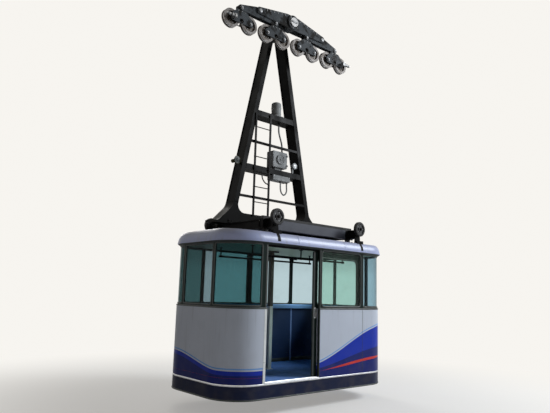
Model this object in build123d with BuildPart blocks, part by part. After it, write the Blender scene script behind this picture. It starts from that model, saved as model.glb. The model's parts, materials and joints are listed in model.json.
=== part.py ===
from build123d import *
from math import radians, tan
import os

os.makedirs("parts", exist_ok=True)

# Cable car cabin with its hanger and its rope carriage, in millimetres.
# X runs along the rope, -Y is the door side, and the origin lies on the axis of the rope.

# Heights
rope_to_floor = 5820
floor_to_belt = 1070
belt_to_eave = 980
skirt_drop = 230
floor_z = -rope_to_floor
belt_z = floor_z + floor_to_belt
eave_z = belt_z + belt_to_eave
skirt_z = floor_z - skirt_drop

# Plan of the cabin
cabin_length = 3600
cabin_width = 1870
corner_radius = 520
wall = 40
side_y = cabin_width / 2
end_x = cabin_length / 2

# Windows and pillars
window_sill = 30
window_head = 35
window_radius = 28
side_window_radius = 70
end_pillar_y = 380
end_pillar_width = 50
left_corner_window_x = -1270
far_left_pillar_x = -1115
far_left_pillar_width = 48
side_window_left = 10
side_window_right = 1000
right_corner_window_x = 1060
far_middle_pillar_x = -100
glass_thickness = 8
glass_depth = 16
frame_inset = 12

# Doorway
door_left = -1160
door_right = -40
door_head = 30

# Roof, floor and underframe
roof_overhang = 34
roof_rise = 205
roof_edge_radius = 180
roof_crown_radius = 9000
gutter_lip = 6
gutter_height = 22
ceiling_thickness = 12
floor_thickness = 60
underframe_depth = 120
underframe_width = 80
underframe_web = 12
underframe_rail_y = 520
underframe_cross_pitch = 1100

# Door leaf, its track and its sill
leaf_thickness = 30
leaf_gap = 12
leaf_lap = 30
leaf_stroke = 1050
leaf_floor_gap = 14
leaf_stile = 90
leaf_window_radius = 90
handle_recess = (36, 150)
handle_recess_depth = 10
handle_height = 1000
track_height = 44
track_wall = 6
track_slot = 30
track_gap = 7
hanger_tab_length = 90
hanger_tab_gap = 0.3
sill_thickness = 8
sill_lip = 12

# Inside of the cabin
lining_thickness = 8
ledge_depth = 60
ledge_height = 26
post_size = 80
post_x = -130
post_y = 190
post_head = (260, 130)
post_head_height = 26
grab_rail_radius = 16
grab_drop_radius = 12
grab_rail_y = 430
grab_rail_drop = 150
grab_rail_length = 2200

# Support frame over the roof
frame_gap = 45
frame_beam_height = 155
frame_beam_width = 90
frame_beam_y = 620
frame_beam_length = 2120
frame_cap_height = 45
frame_cap_width = 60
frame_flange = 14
frame_web = 22
mount_radius = 60
mount_waist = 12

# Guide rollers at the corners of the frame
guide_x = 980
guide_y = 900
guide_lift = 415
guide_roller_radius = 130
guide_roller_width = 64
guide_tyre_depth = 40
guide_tyre_edge = 12
guide_hub_radius = 48
guide_axle_radius = 18
guide_washer_radius = 30
guide_washer = 8
bracket_plate = 16
bracket_gap = 8
bracket_eye_radius = 55
bracket_foot_length = 170
foot_pad_width = 60

# Hanger, which stands beside the rope and is carried by the pin
hanger_y = 450
hanger_depth = 250
leg_width = 92
leg_flange = 14
leg_web_inset = 12
leg_inner_at_base = 856
leg_slope = 0.21
base_height = 215
base_half_length = 1325
base_end_height = 40
base_end_flat = 100
base_stub_rise = 190
base_gusset_radius = 150
base_flare_rise = 330
base_flare_radius = 240
bar_height = 100
top_bar_lift = 3518
mid_bar_lift = 2466
upper_tie_lift = 2956
lower_tie_lift = 1920
tie_size = 40

# Ladder and fittings on the hanger
ladder_left = -490
ladder_width = 345
ladder_rail = 36
ladder_thickness = 20
ladder_lap = 30
ladder_pitch = 280
rung_radius = 9
control_box = (355, 180, 310)
control_box_x = 158
control_foot_height = 64
control_lid_radius = 85
control_lid_depth = 22
box_corner = 14
lower_box = (430, 160, 100)
lower_box_x = 175
lamp_radius = 58
lamp_length = 110
lamp_x = 460
lamp_lift = 2650
lamp_bracket = 30
horn_radius = 70
horn_throat = 24
horn_length = 150
horn_x = -840
horn_lift = 2550
horn_arm = 28
unit_radius = 95
unit_height = 300
unit_dome = 40
unit_foot_radius = 115
unit_foot = 16
unit_x = 100
conduit_radius = 16
conduit_bend = 0.3
cable_radius = 7

# Carriage on the rope
rope_radius = 20
rope_grip = 14
groove_radius = 130
rim_radius = 165
rim_tip = 8
rim_rib = 12
roller_width = 76
roller_hub_radius = 55
roller_web = 24
roller_axle_radius = 25
running_gap = 0.3
roller_pitch = 400
bogie_pitch = 800
rocker_pitch = 1600
cheek_thickness = 16
cheek_gap = 8
cheek_drop = 50
cheek_radius = 40
cheek_hole_radius = 42
axle_nut = 10
bogie_roof_gap = 10
bogie_top = 20
pivot_radius = 28
pivot_lug_radius = 60
pivot_lug_width = 50
pivot_fit = 0.3
pivot_rise = 30
rocker_plate = 16
rocker_gap = 5
rocker_slope = 42
main_beam_gap = 14
main_beam_plate = 16
main_beam_cover_half = 660
main_beam_rib_x = 270
hub_boss = 30
pin_rise = 60
pin_radius = 60
pin_hub_radius = 135
pin_washer_radius = 90
pin_washer = 20
pin_side_gap = 6
head_radius = 165
head_rim = 8
head_leg_lap = 60
socket_radius = 34
socket_length = 180
socket_reach = 60
socket_arm = 60

# Values that follow from the sizes above
axle_z = rope_radius + groove_radius
bogie_roof_z = axle_z + rim_radius + bogie_roof_gap
cheek_y = roller_width / 2 + cheek_gap
cheek_outer = cheek_y + cheek_thickness
bogie_pivot_z = bogie_roof_z + bogie_top + pivot_lug_radius
rocker_pivot_z = bogie_pivot_z + pivot_lug_radius + pivot_rise
rocker_y = pivot_lug_width / 2 + rocker_gap
main_beam_y = rocker_y + rocker_plate + main_beam_gap
hub_face_y = main_beam_y + main_beam_plate + hub_boss
pin_z = rocker_pivot_z + pin_rise
leaf_y = -(side_y - wall - leaf_gap - leaf_thickness / 2)
leaf_width = door_right - door_left + 2 * leaf_lap
leaf_left = door_left - leaf_lap + leaf_stroke
leaf_right = leaf_left + leaf_width
frame_z = eave_z + roof_rise + frame_gap
base_z = frame_z + frame_beam_height
base_top_z = base_z + base_height
guide_z = eave_z + guide_lift
hanger_front_y = hanger_y - hanger_depth / 2
leg_web_depth = hanger_depth - 2 * leg_flange


def leg_inner_x(z):
    """Half the clear width between the two hanger legs at height z."""
    return leg_inner_at_base - leg_slope * (z - base_top_z)


def belt_up(lift):
    """Height of a point that lies so far above the window belt."""
    return belt_z + lift


def turned(x, y, z, profile):
    """Revolve a profile of (distance along Y, radius) points about the Y axis through (x, y, z)."""
    with BuildPart() as wheel:
        with BuildSketch(Plane.YZ.offset(x)):
            with BuildLine():
                Polyline(*[(y + along, z + radius) for along, radius in profile], close=True)
            make_face()
        revolve(axis=Axis((x, y, z), (0, 1, 0)))
    return wheel.part


def block(left, right, low, high, bottom, top, mode=Mode.ADD):
    """A box in the running part, given by its six sides."""
    with Locations(((left + right) / 2, (low + high) / 2, (bottom + top) / 2)):
        Box(right - left, high - low, top - bottom, mode=mode)


def bored_plate(outline, corner, holes, hole_radius, near_y, thickness):
    """An upright plate in the running part: its outline, rounded corners, round holes, near face and thickness."""
    with BuildSketch(Plane.XZ.offset(-near_y)) as face:
        with BuildLine():
            Polyline(*outline, close=True)
        make_face()
        fillet(face.vertices(), corner)
        if holes:
            with Locations(*holes):
                Circle(hole_radius, mode=Mode.SUBTRACT)
    extrude(face.sketch, amount=-thickness)


def save(part, name):
    part.label = name
    export_step(part, f"parts/{name}.step")


# Walls: one ring in plan, from the skirt to the eave, with the windows and the door cut out.
# Columns: left x, right x, lower y, upper y and corner radius of each window's cut through the ring.
reach = 200
window_cuts = [
    (-end_x - reach, left_corner_window_x, -side_y - reach, -end_pillar_y - end_pillar_width, window_radius),
    (-end_x - reach, far_left_pillar_x, end_pillar_y + end_pillar_width, side_y + reach, window_radius),
    (right_corner_window_x, end_x + reach, -side_y - reach, -end_pillar_y - end_pillar_width, window_radius),
    (right_corner_window_x, end_x + reach, end_pillar_y + end_pillar_width, side_y + reach, window_radius),
    (-end_x - reach, -end_x + reach, -end_pillar_y, end_pillar_y, window_radius),
    (end_x - reach, end_x + reach, -end_pillar_y, end_pillar_y, window_radius),
    (side_window_left, side_window_right, -side_y - reach, -side_y + reach, side_window_radius),
    (side_window_left, side_window_right, side_y - reach, side_y + reach, side_window_radius),
    (far_left_pillar_x + far_left_pillar_width, far_middle_pillar_x, side_y - reach, side_y + reach, window_radius),
]
window_z = belt_z + window_sill
window_top = eave_z - window_head
window_height = window_top - window_z


def window_tool(left, right, low, high, corner):
    """The space of one window: two crossed prisms, each with rounded corners."""
    middle_z = (window_z + window_top) / 2
    with BuildPart() as tool:
        with BuildSketch(Plane.XZ.offset(-low)):
            with Locations(((left + right) / 2, middle_z)):
                RectangleRounded(right - left, window_height, corner)
        extrude(amount=low - high)
        with BuildSketch(Plane.YZ.offset(left)):
            with Locations(((low + high) / 2, middle_z)):
                RectangleRounded(high - low, window_height, corner)
        extrude(amount=right - left, mode=Mode.INTERSECT)
    return tool.part


window_tools = [window_tool(*cut) for cut in window_cuts]

with BuildPart() as wall_ring:
    with BuildSketch(Plane.XY.offset(skirt_z)):
        RectangleRounded(cabin_length, cabin_width, corner_radius)
        RectangleRounded(cabin_length - 2 * wall, cabin_width - 2 * wall, corner_radius - wall, mode=Mode.SUBTRACT)
    extrude(amount=eave_z - skirt_z)
    with BuildSketch(Plane.XY.offset(belt_z)):
        RectangleRounded(cabin_length + reach, cabin_width + reach, corner_radius + reach / 2)
        RectangleRounded(
            cabin_length - 2 * frame_inset, cabin_width - 2 * frame_inset, corner_radius - frame_inset, mode=Mode.SUBTRACT
        )
    extrude(amount=belt_to_eave, mode=Mode.SUBTRACT)
    for tool in window_tools:
        add(tool, mode=Mode.SUBTRACT)
    block(door_left, door_right, -side_y - reach, -side_y + reach, floor_z, eave_z - door_head, mode=Mode.SUBTRACT)

with BuildPart() as glass_ring:
    with BuildSketch(Plane.XY.offset(window_z)):
        RectangleRounded(cabin_length - 2 * glass_depth, cabin_width - 2 * glass_depth, corner_radius - glass_depth)
        glass_back = glass_depth + glass_thickness
        RectangleRounded(
            cabin_length - 2 * glass_back, cabin_width - 2 * glass_back, corner_radius - glass_back, mode=Mode.SUBTRACT
        )
    extrude(amount=window_height)

# The ring is parted on the pillars. Columns: name, left x, right x, lower y, upper y.
near_part_x = (left_corner_window_x + door_left) / 2
far_part_x = far_left_pillar_x + far_left_pillar_width / 2
right_part_x = (side_window_right + right_corner_window_x) / 2
wall_parts = [
    ("near_side", near_part_x, right_part_x, -side_y - reach, 0),
    ("far_side", far_part_x, right_part_x, 0, side_y + reach),
    ("right_end", right_part_x, end_x + reach, -side_y - reach, side_y + reach),
]
for name, left, right, low, high in wall_parts:
    with BuildPart() as wall_panel:
        block(left, right, low, high, skirt_z, eave_z)
        add(wall_ring.part, mode=Mode.INTERSECT)
    save(wall_panel.part, f"wall_{name}")

with BuildPart() as left_end_wall:
    block(-end_x - reach, near_part_x, -side_y - reach, 0, skirt_z, eave_z)
    block(-end_x - reach, far_part_x, 0, side_y + reach, skirt_z, eave_z)
    add(wall_ring.part, mode=Mode.INTERSECT)
save(left_end_wall.part, "wall_left_end")

# Each pane fills its window. Columns: name, places of its windows in the table of cuts.
pane_groups = [("left_end", (0, 1, 4)), ("right_end", (2, 3, 5)), ("near_side", (6,)), ("far_side", (7, 8))]
for name, places in pane_groups:
    with BuildPart() as panes:
        for place in places:
            add(window_tools[place])
        add(glass_ring.part, mode=Mode.INTERSECT)
    save(panes.part, f"glass_{name}")

# Roof: a closed shell with a rounded edge, a slight crown and a gutter lip past the walls.
with BuildPart() as roof:
    with BuildSketch(Plane.XY.offset(eave_z)):
        RectangleRounded(
            cabin_length + 2 * roof_overhang, cabin_width + 2 * roof_overhang, corner_radius + roof_overhang
        )
    extrude(amount=roof_rise)
    fillet(roof.faces().sort_by(Axis.Z)[-1].edges(), roof_edge_radius)
    with BuildSketch(Plane.YZ.offset(-cabin_length)):
        with Locations((0, eave_z + roof_rise - roof_crown_radius)):
            Circle(roof_crown_radius)
    extrude(amount=2 * cabin_length, mode=Mode.INTERSECT)
    gutter_reach = roof_overhang + gutter_lip
    with BuildSketch(Plane.XY.offset(eave_z)):
        RectangleRounded(
            cabin_length + 2 * gutter_reach, cabin_width + 2 * gutter_reach, corner_radius + gutter_reach
        )
    extrude(amount=gutter_height)
save(roof.part, "roof")

with BuildPart() as ceiling:
    with BuildSketch(Plane.XY.offset(eave_z - ceiling_thickness)):
        RectangleRounded(cabin_length - 2 * wall, cabin_width - 2 * wall, corner_radius - wall)
    extrude(amount=ceiling_thickness)
save(ceiling.part, "ceiling")

with BuildPart() as floor:
    with BuildSketch(Plane.XY.offset(floor_z - floor_thickness)):
        RectangleRounded(cabin_length - 2 * wall, cabin_width - 2 * wall, corner_radius - wall)
    extrude(amount=floor_thickness)
save(floor.part, "floor")

# Underframe: two long channels that open outwards, with three cross channels between and beyond them.
underframe_z = floor_z - floor_thickness - underframe_depth
rail_half = cabin_length / 2 - corner_radius
with BuildPart() as underframe:
    for side in (-1, 1):
        with BuildSketch(Plane.YZ.offset(-rail_half)):
            with Locations((side * underframe_rail_y, underframe_z + underframe_depth / 2)):
                Rectangle(underframe_width, underframe_depth)
            with Locations((side * (underframe_rail_y + underframe_web), underframe_z + underframe_depth / 2)):
                Rectangle(underframe_width, underframe_depth - 2 * underframe_web, mode=Mode.SUBTRACT)
        extrude(amount=2 * rail_half)
    with BuildSketch(Plane.XY.offset(underframe_z)):
        with GridLocations(underframe_cross_pitch, 0, 3, 1):
            Rectangle(underframe_width, cabin_width - 2 * wall)
    extrude(amount=underframe_depth)
save(underframe.part, "underframe")

# Door leaf: it stands open at rest, and slides towards -X along the inside of the wall.
leaf_bottom = floor_z + leaf_floor_gap
track_z = eave_z - ceiling_thickness - track_height
leaf_top = track_z - track_gap
leaf_window_top = leaf_top - leaf_stile
leaf_middle_x = (leaf_left + leaf_right) / 2
with BuildPart() as door_leaf:
    with BuildSketch(Plane.XZ.offset(-leaf_y)):
        with Locations((leaf_middle_x, (leaf_bottom + leaf_top) / 2)):
            Rectangle(leaf_width, leaf_top - leaf_bottom)
        with Locations((leaf_middle_x, (window_z + leaf_window_top) / 2)):
            RectangleRounded(
                leaf_width - 2 * leaf_stile, leaf_window_top - window_z, leaf_window_radius, mode=Mode.SUBTRACT
            )
    extrude(amount=leaf_thickness / 2, both=True)
    for tab_x in (leaf_left + hanger_tab_length, leaf_right - hanger_tab_length):
        block(
            tab_x - hanger_tab_length / 2,
            tab_x + hanger_tab_length / 2,
            leaf_y - track_slot / 2 + track_gap,
            leaf_y + track_slot / 2 - track_gap,
            leaf_top,
            track_z + track_height - track_wall - hanger_tab_gap,
        )
    outer_face_y = leaf_y - leaf_thickness / 2
    with BuildSketch(Plane.XZ.offset(-outer_face_y)):
        with Locations((leaf_left + leaf_stile / 2, floor_z + handle_height)):
            RectangleRounded(*handle_recess, handle_recess[0] / 3)
    extrude(amount=-handle_recess_depth, mode=Mode.SUBTRACT)
save(door_leaf.part, "door_leaf")

with BuildPart() as door_glass:
    with BuildSketch(Plane.XZ.offset(-leaf_y)):
        with Locations((leaf_middle_x, (window_z + leaf_window_top) / 2)):
            RectangleRounded(leaf_width - 2 * leaf_stile, leaf_window_top - window_z, leaf_window_radius)
    extrude(amount=glass_thickness / 2, both=True)
save(door_glass.part, "door_glass")

# Track: an inverted channel under the ceiling, long enough for both ends of the travel.
track_left = leaf_left - leaf_stroke
with BuildPart() as door_track:
    with BuildSketch(Plane.YZ.offset(track_left)):
        with Locations((leaf_y, track_z + track_height / 2)):
            Rectangle(track_slot + 2 * track_wall, track_height)
        with Locations((leaf_y, track_z + (track_height - track_wall) / 2)):
            Rectangle(track_slot, track_height - track_wall, mode=Mode.SUBTRACT)
    extrude(amount=leaf_right - track_left)
save(door_track.part, "door_track")

with BuildPart() as door_sill:
    sill_front_y = -side_y - sill_lip
    sill_back_y = leaf_y + leaf_thickness / 2
    block(door_left, door_right, sill_front_y, sill_back_y, floor_z, floor_z + sill_thickness)
    chamfer(door_sill.edges().filter_by(Axis.X).sort_by(Axis.Z)[-2:].sort_by(Axis.Y)[0], sill_thickness / 2)
save(door_sill.part, "door_sill")

# Lining and ledge: they follow the walls at both ends and on the far side, out of the leaf's way.
with BuildPart() as lining:
    with BuildSketch(Plane.XY.offset(floor_z)):
        RectangleRounded(cabin_length - 2 * wall, cabin_width - 2 * wall, corner_radius - wall)
        lining_back = wall + lining_thickness
        RectangleRounded(
            cabin_length - 2 * lining_back, cabin_width - 2 * lining_back, corner_radius - lining_back, mode=Mode.SUBTRACT
        )
    extrude(amount=floor_to_belt - ledge_height)
    block(track_left - reach, leaf_right + reach, -side_y, -side_y + reach, floor_z, belt_z, mode=Mode.SUBTRACT)
save(lining.part, "inner_lining")

with BuildPart() as ledge:
    with BuildSketch(Plane.XY.offset(belt_z - ledge_height)):
        RectangleRounded(cabin_length - 2 * wall, cabin_width - 2 * wall, corner_radius - wall)
        ledge_back = wall + ledge_depth
        RectangleRounded(
            cabin_length - 2 * ledge_back, cabin_width - 2 * ledge_back, corner_radius - ledge_back, mode=Mode.SUBTRACT
        )
    extrude(amount=ledge_height)
    block(track_left - reach, leaf_right + reach, -side_y, -side_y + reach, floor_z, belt_z, mode=Mode.SUBTRACT)
save(ledge.part, "inner_ledge")

ceiling_z = eave_z - ceiling_thickness
with BuildPart() as centre_post:
    with BuildSketch(Plane.XY.offset(floor_z)):
        with Locations((post_x, post_y)):
            RectangleRounded(post_size, post_size, post_size / 5)
    extrude(amount=ceiling_z - floor_z)
    with BuildSketch(Plane.XY.offset(ceiling_z - post_head_height)):
        with Locations((post_x, post_y)):
            RectangleRounded(*post_head, post_size / 5)
    extrude(amount=post_head_height)
save(centre_post.part, "centre_post")

# Grab rails: two tubes under the ceiling, each on three drop brackets.
with BuildPart() as grab_rails:
    rail_z = ceiling_z - grab_rail_drop
    for rail_y in (-grab_rail_y, grab_rail_y):
        with BuildSketch(Plane.YZ.offset(-grab_rail_length / 2)):
            with Locations((rail_y, rail_z)):
                Circle(grab_rail_radius)
        extrude(amount=grab_rail_length)
        with BuildSketch(Plane.XY.offset(rail_z)):
            with Locations((0, rail_y)):
                with GridLocations(grab_rail_length / 2 - 2 * grab_rail_radius, 0, 3, 1):
                    Circle(grab_drop_radius)
        extrude(amount=grab_rail_drop)
save(grab_rails.part, "grab_rails")

# Support frame: two long beams, each with a cap strip, and two cross beams between and beyond them.
beam_reach = frame_beam_y + frame_beam_width / 2
long_beams = {}
for name, beam_y in (("near", -frame_beam_y), ("far", frame_beam_y)):
    with BuildPart() as long_beam:
        with BuildSketch(Plane.YZ.offset(-frame_beam_length / 2)):
            with Locations((beam_y, frame_z + frame_beam_height / 2)):
                Rectangle(frame_beam_width, frame_beam_height)
            with Locations((beam_y, frame_z + frame_beam_height + frame_cap_height / 2)):
                Rectangle(frame_cap_width, frame_cap_height)
        extrude(amount=frame_beam_length)
        chamfer(long_beam.faces().filter_by(Axis.X).edges().filter_by(Axis.Z), frame_flange / 2)
    long_beams[name] = long_beam.part
    save(long_beam.part, f"roof_frame_beam_{name}")

bracket_y = guide_y - guide_roller_width / 2 - bracket_gap - bracket_plate
with BuildPart() as cross_beams:
    for beam_x in (-guide_x, guide_x):
        with BuildSketch(Plane.XZ.offset(bracket_y)):
            with Locations((beam_x, frame_z + frame_beam_height / 2)):
                Rectangle(frame_beam_width, frame_beam_height)
            for web_side in (-1, 1):
                recess_x = beam_x + web_side * (frame_beam_width + frame_web) / 4
                with Locations((recess_x + web_side * frame_web / 4, frame_z + frame_beam_height / 2)):
                    Rectangle(
                        (frame_beam_width - frame_web) / 2, frame_beam_height - 2 * frame_flange, mode=Mode.SUBTRACT
                    )
        extrude(amount=-2 * bracket_y)
    for long_beam_part in long_beams.values():
        add(long_beam_part, mode=Mode.SUBTRACT)
save(cross_beams.part, "roof_frame_cross_beams")

with BuildPart() as roof_mounts:
    mount_bottom_z = eave_z + roof_rise - frame_gap
    with BuildSketch(Plane.XY.offset(mount_bottom_z)):
        with GridLocations(2 * guide_x, 2 * frame_beam_y, 2, 2):
            Circle(mount_radius - mount_waist)
    extrude(amount=frame_z - mount_bottom_z)
    with BuildSketch(Plane.XY.offset(frame_z - mount_waist)):
        with GridLocations(2 * guide_x, 2 * frame_beam_y, 2, 2):
            Circle(mount_radius)
    extrude(amount=mount_waist)
    add(roof.part, mode=Mode.SUBTRACT)
save(roof_mounts.part, "roof_mounts")

# Guide rollers: one at each corner, on the outer side of a plate that stands on the roof's edge.
with BuildPart() as guide_forks:
    for fork_x in (-guide_x, guide_x):
        for side in (-1, 1):
            plate_y = side * (bracket_y + bracket_plate / 2)
            with BuildSketch(Plane.XZ.offset(-plate_y)):
                with Locations((fork_x, guide_z)):
                    Circle(bracket_eye_radius)
                with BuildLine():
                    Polyline(
                        (fork_x - bracket_eye_radius, guide_z),
                        (fork_x + bracket_eye_radius, guide_z),
                        (fork_x + bracket_foot_length / 2, eave_z),
                        (fork_x - bracket_foot_length / 2, eave_z),
                        close=True,
                    )
                make_face()
            extrude(amount=bracket_plate / 2, both=True)
            pad_inner_y = bracket_y + bracket_plate
            block(
                fork_x - bracket_foot_length / 2,
                fork_x + bracket_foot_length / 2,
                min(side * pad_inner_y, side * (pad_inner_y + foot_pad_width)),
                max(side * pad_inner_y, side * (pad_inner_y + foot_pad_width)),
                eave_z + roof_edge_radius / 2,
                eave_z + roof_rise,
            )
            with BuildSketch(Plane.XZ.offset(-side * bracket_y)):
                with Locations((fork_x, guide_z)):
                    Circle(guide_axle_radius)
            axle_length = bracket_plate + bracket_gap + guide_roller_width + bracket_gap
            extrude(amount=-side * axle_length)
            washer_y = side * (guide_y + guide_roller_width / 2 + running_gap)
            with BuildSketch(Plane.XZ.offset(-washer_y)):
                with Locations((fork_x, guide_z)):
                    Circle(guide_washer_radius)
            extrude(amount=-side * guide_washer)
    add(roof.part, mode=Mode.SUBTRACT)
save(guide_forks.part, "guide_forks")

half = guide_roller_width / 2
tyre_bottom = guide_roller_radius - guide_tyre_depth
guide_profile = [
    (-half, guide_axle_radius + running_gap),
    (-half, guide_hub_radius),
    (-half / 2, guide_hub_radius),
    (-half / 2, tyre_bottom),
    (-half, tyre_bottom),
    (-half, guide_roller_radius - guide_tyre_edge),
    (-half + guide_tyre_edge, guide_roller_radius),
    (half - guide_tyre_edge, guide_roller_radius),
    (half, guide_roller_radius - guide_tyre_edge),
    (half, tyre_bottom),
    (half / 2, tyre_bottom),
    (half / 2, guide_hub_radius),
    (half, guide_hub_radius),
    (half, guide_axle_radius + running_gap),
]
guide_places = [(x, y) for x in (-guide_x, guide_x) for y in (-guide_y, guide_y)]
for number, (x, y) in enumerate(guide_places, start=1):
    save(turned(x, y, guide_z, guide_profile), f"guide_roller_{number}")

# Hanger head: a bored drum around the pin, with a raised rim on both faces.
with BuildPart() as hanger_head:
    with BuildSketch(Plane.XZ.offset(-hanger_y)):
        with Locations((0, pin_z)):
            Circle(head_radius)
            Circle(pin_radius + running_gap, mode=Mode.SUBTRACT)
    extrude(amount=hanger_depth / 2, both=True)
    drum_edges = hanger_head.edges().filter_by(GeomType.CIRCLE).group_by(SortBy.RADIUS)[-1]
    chamfer(drum_edges, head_rim)
save(hanger_head.part, "hanger_head")

with BuildPart() as head_space:
    with BuildSketch(Plane.XZ.offset(-hanger_y)):
        with Locations((0, pin_z)):
            Circle(head_radius)
    extrude(amount=hanger_depth, both=True)

# Legs: a front and a back flange with a narrower box between them, leaning to the head.
leg_top_z = pin_z - head_leg_lap
leg_foot_z = base_top_z + base_stub_rise


def leg_outline(side, inset):
    """Corners of a leg seen along Y, drawn in by inset from the flanges' edges."""
    return [
        (side * (leg_inner_x(leg_foot_z) + inset), leg_foot_z),
        (side * (leg_inner_x(leg_foot_z) + leg_width - inset), leg_foot_z),
        (side * (leg_inner_x(leg_top_z) + leg_width - inset), leg_top_z),
        (side * max(leg_inner_x(leg_top_z) + inset, 0), leg_top_z),
    ]


legs = {}
for name, side in (("left", -1), ("right", 1)):
    with BuildPart() as leg:
        with BuildSketch(Plane.XZ.offset(-hanger_y)):
            with BuildLine():
                Polyline(*leg_outline(side, leg_web_inset), close=True)
            make_face()
        extrude(amount=leg_web_depth / 2, both=True)
        for flange_y in (hanger_front_y, hanger_front_y + hanger_depth - leg_flange):
            with BuildSketch(Plane.XZ.offset(-flange_y)):
                with BuildLine():
                    Polyline(*leg_outline(side, 0), close=True)
                make_face()
            extrude(amount=-leg_flange)
        add(head_space.part, mode=Mode.SUBTRACT)
    legs[name] = leg.part
    save(leg.part, f"hanger_leg_{name}")

# Base beam: one welding with rounded gussets up into both legs and a flared foot at each end.
flare_top_z = base_z + base_flare_rise
flare_outer_x = leg_inner_x(flare_top_z) + leg_width
stub_inner_x = leg_inner_x(leg_foot_z)
end_top_z = base_z + base_end_height
right_half = [
    (leg_inner_x(base_top_z), base_top_z),
    (stub_inner_x, leg_foot_z),
    (stub_inner_x + leg_width, leg_foot_z),
    (flare_outer_x, flare_top_z),
    (base_half_length - base_end_flat, end_top_z),
    (base_half_length, end_top_z),
    (base_half_length, base_z),
]
with BuildPart() as base_beam:
    with BuildSketch(Plane.XZ.offset(-hanger_y)) as base_face:
        with BuildLine():
            Polyline(*right_half, *[(-x, z) for x, z in reversed(right_half)], close=True)
        make_face()
        inner_corners = base_face.vertices().filter_by_position(Axis.Y, base_top_z - 1, base_top_z + 1)
        fillet(inner_corners, base_gusset_radius)
        flare_corners = base_face.vertices().filter_by_position(Axis.Y, flare_top_z - 1, flare_top_z + 1)
        fillet(flare_corners, base_flare_radius)
        end_corners = [
            corner
            for corner in base_face.vertices().filter_by_position(Axis.Y, end_top_z - 1, end_top_z + 1)
            if abs(corner.X) < base_half_length - 1
        ]
        fillet(end_corners, base_end_flat)
    extrude(amount=hanger_depth / 2, both=True)
save(base_beam.part, "hanger_base_beam")


def crossbar(middle_z, height, depth):
    """A bar that fills the width between the legs' webs, flush with the hanger's front."""
    low = middle_z - height / 2
    high = middle_z + height / 2
    with BuildPart() as bar:
        with BuildSketch(Plane.XZ.offset(-hanger_front_y)):
            with BuildLine():
                Polyline(
                    (-leg_inner_x(low) - leg_web_inset, low),
                    (leg_inner_x(low) + leg_web_inset, low),
                    (leg_inner_x(high) + leg_web_inset, high),
                    (-leg_inner_x(high) - leg_web_inset, high),
                    close=True,
                )
            make_face()
        extrude(amount=-depth)
        for leg_part in legs.values():
            add(leg_part, mode=Mode.SUBTRACT)
    return bar.part


top_bar_z = belt_up(top_bar_lift)
mid_bar_z = belt_up(mid_bar_lift)
save(crossbar(top_bar_z, bar_height, hanger_depth), "hanger_top_bar")
save(crossbar(mid_bar_z, bar_height, hanger_depth), "hanger_mid_bar")
save(crossbar(belt_up(upper_tie_lift), tie_size, tie_size), "hanger_upper_tie")
save(crossbar(belt_up(lower_tie_lift), tie_size, tie_size), "hanger_lower_tie")

# Ladder: flat rails on the front of the bars, from the base beam to the top bar, with round rungs.
ladder_bottom = base_top_z - ladder_lap
ladder_top = top_bar_z - bar_height / 2 + ladder_lap
ladder_y = hanger_front_y - ladder_thickness / 2
rung_count = int((ladder_top - ladder_bottom) / ladder_pitch)
with BuildPart() as ladder:
    for rail_x in (ladder_left, ladder_left + ladder_width):
        block(
            rail_x - ladder_rail / 2,
            rail_x + ladder_rail / 2,
            hanger_front_y - ladder_thickness,
            hanger_front_y,
            ladder_bottom,
            ladder_top,
        )
save(ladder.part, "hanger_ladder")

with BuildPart() as rungs:
    with BuildSketch(Plane.YZ.offset(ladder_left + ladder_rail / 2)):
        with Locations((ladder_y, (ladder_bottom + ladder_top) / 2)):
            with GridLocations(0, ladder_pitch, 1, rung_count):
                Circle(rung_radius)
    extrude(amount=ladder_width - ladder_rail)
save(rungs.part, "hanger_ladder_rungs")

# Fittings on the bars.
mid_bar_top = mid_bar_z + bar_height / 2
mid_bar_bottom = mid_bar_z - bar_height / 2
control_bottom = mid_bar_top + control_foot_height
control_top = control_bottom + control_box[2]
control_front_y = hanger_y - control_box[1] / 2
with BuildPart() as control:
    block(
        control_box_x - control_box[0] / 2,
        control_box_x + control_box[0] / 2,
        control_front_y,
        control_front_y + control_box[1],
        control_bottom,
        control_top,
    )
    fillet(control.edges().filter_by(Axis.Y), box_corner)
    with BuildSketch(Plane.XZ.offset(-control_front_y)):
        with Locations((control_box_x, (control_bottom + control_top) / 2)):
            Circle(control_lid_radius)
    extrude(amount=control_lid_depth)
    block(
        control_box_x - control_box[0] / 4,
        control_box_x + control_box[0] / 4,
        hanger_y - control_box[1] / 4,
        hanger_y + control_box[1] / 4,
        mid_bar_top,
        control_bottom,
    )
save(control.part, "hanger_control_box")

lower_box_bottom = mid_bar_bottom - lower_box[2]
with BuildPart() as junction:
    block(
        lower_box_x - lower_box[0] / 2,
        lower_box_x + lower_box[0] / 2,
        hanger_front_y,
        hanger_front_y + lower_box[1],
        lower_box_bottom,
        mid_bar_bottom,
    )
    fillet(junction.edges().filter_by(Axis.Y), box_corner)
save(junction.part, "hanger_junction_box")

# Lamp: a turned bowl whose rim looks forward, on a bracket that stands on the middle bar.
lamp_z = belt_up(lamp_lift)
lamp_y = hanger_front_y
lamp_profile = [
    (lamp_length / 2, 0),
    (lamp_length / 2, lamp_radius / 3),
    (lamp_length / 4, lamp_radius * 2 / 3),
    (-lamp_length / 4, lamp_radius * 5 / 6),
    (-lamp_length / 3, lamp_radius),
    (-lamp_length / 2, lamp_radius),
    (-lamp_length / 2, 0),
]
with BuildPart() as lamp:
    add(turned(lamp_x, lamp_y, lamp_z, lamp_profile))
    block(
        lamp_x - lamp_bracket / 2,
        lamp_x + lamp_bracket / 2,
        lamp_y,
        lamp_y + lamp_bracket,
        mid_bar_top,
        lamp_z,
    )
save(lamp.part, "hanger_lamp")

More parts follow.
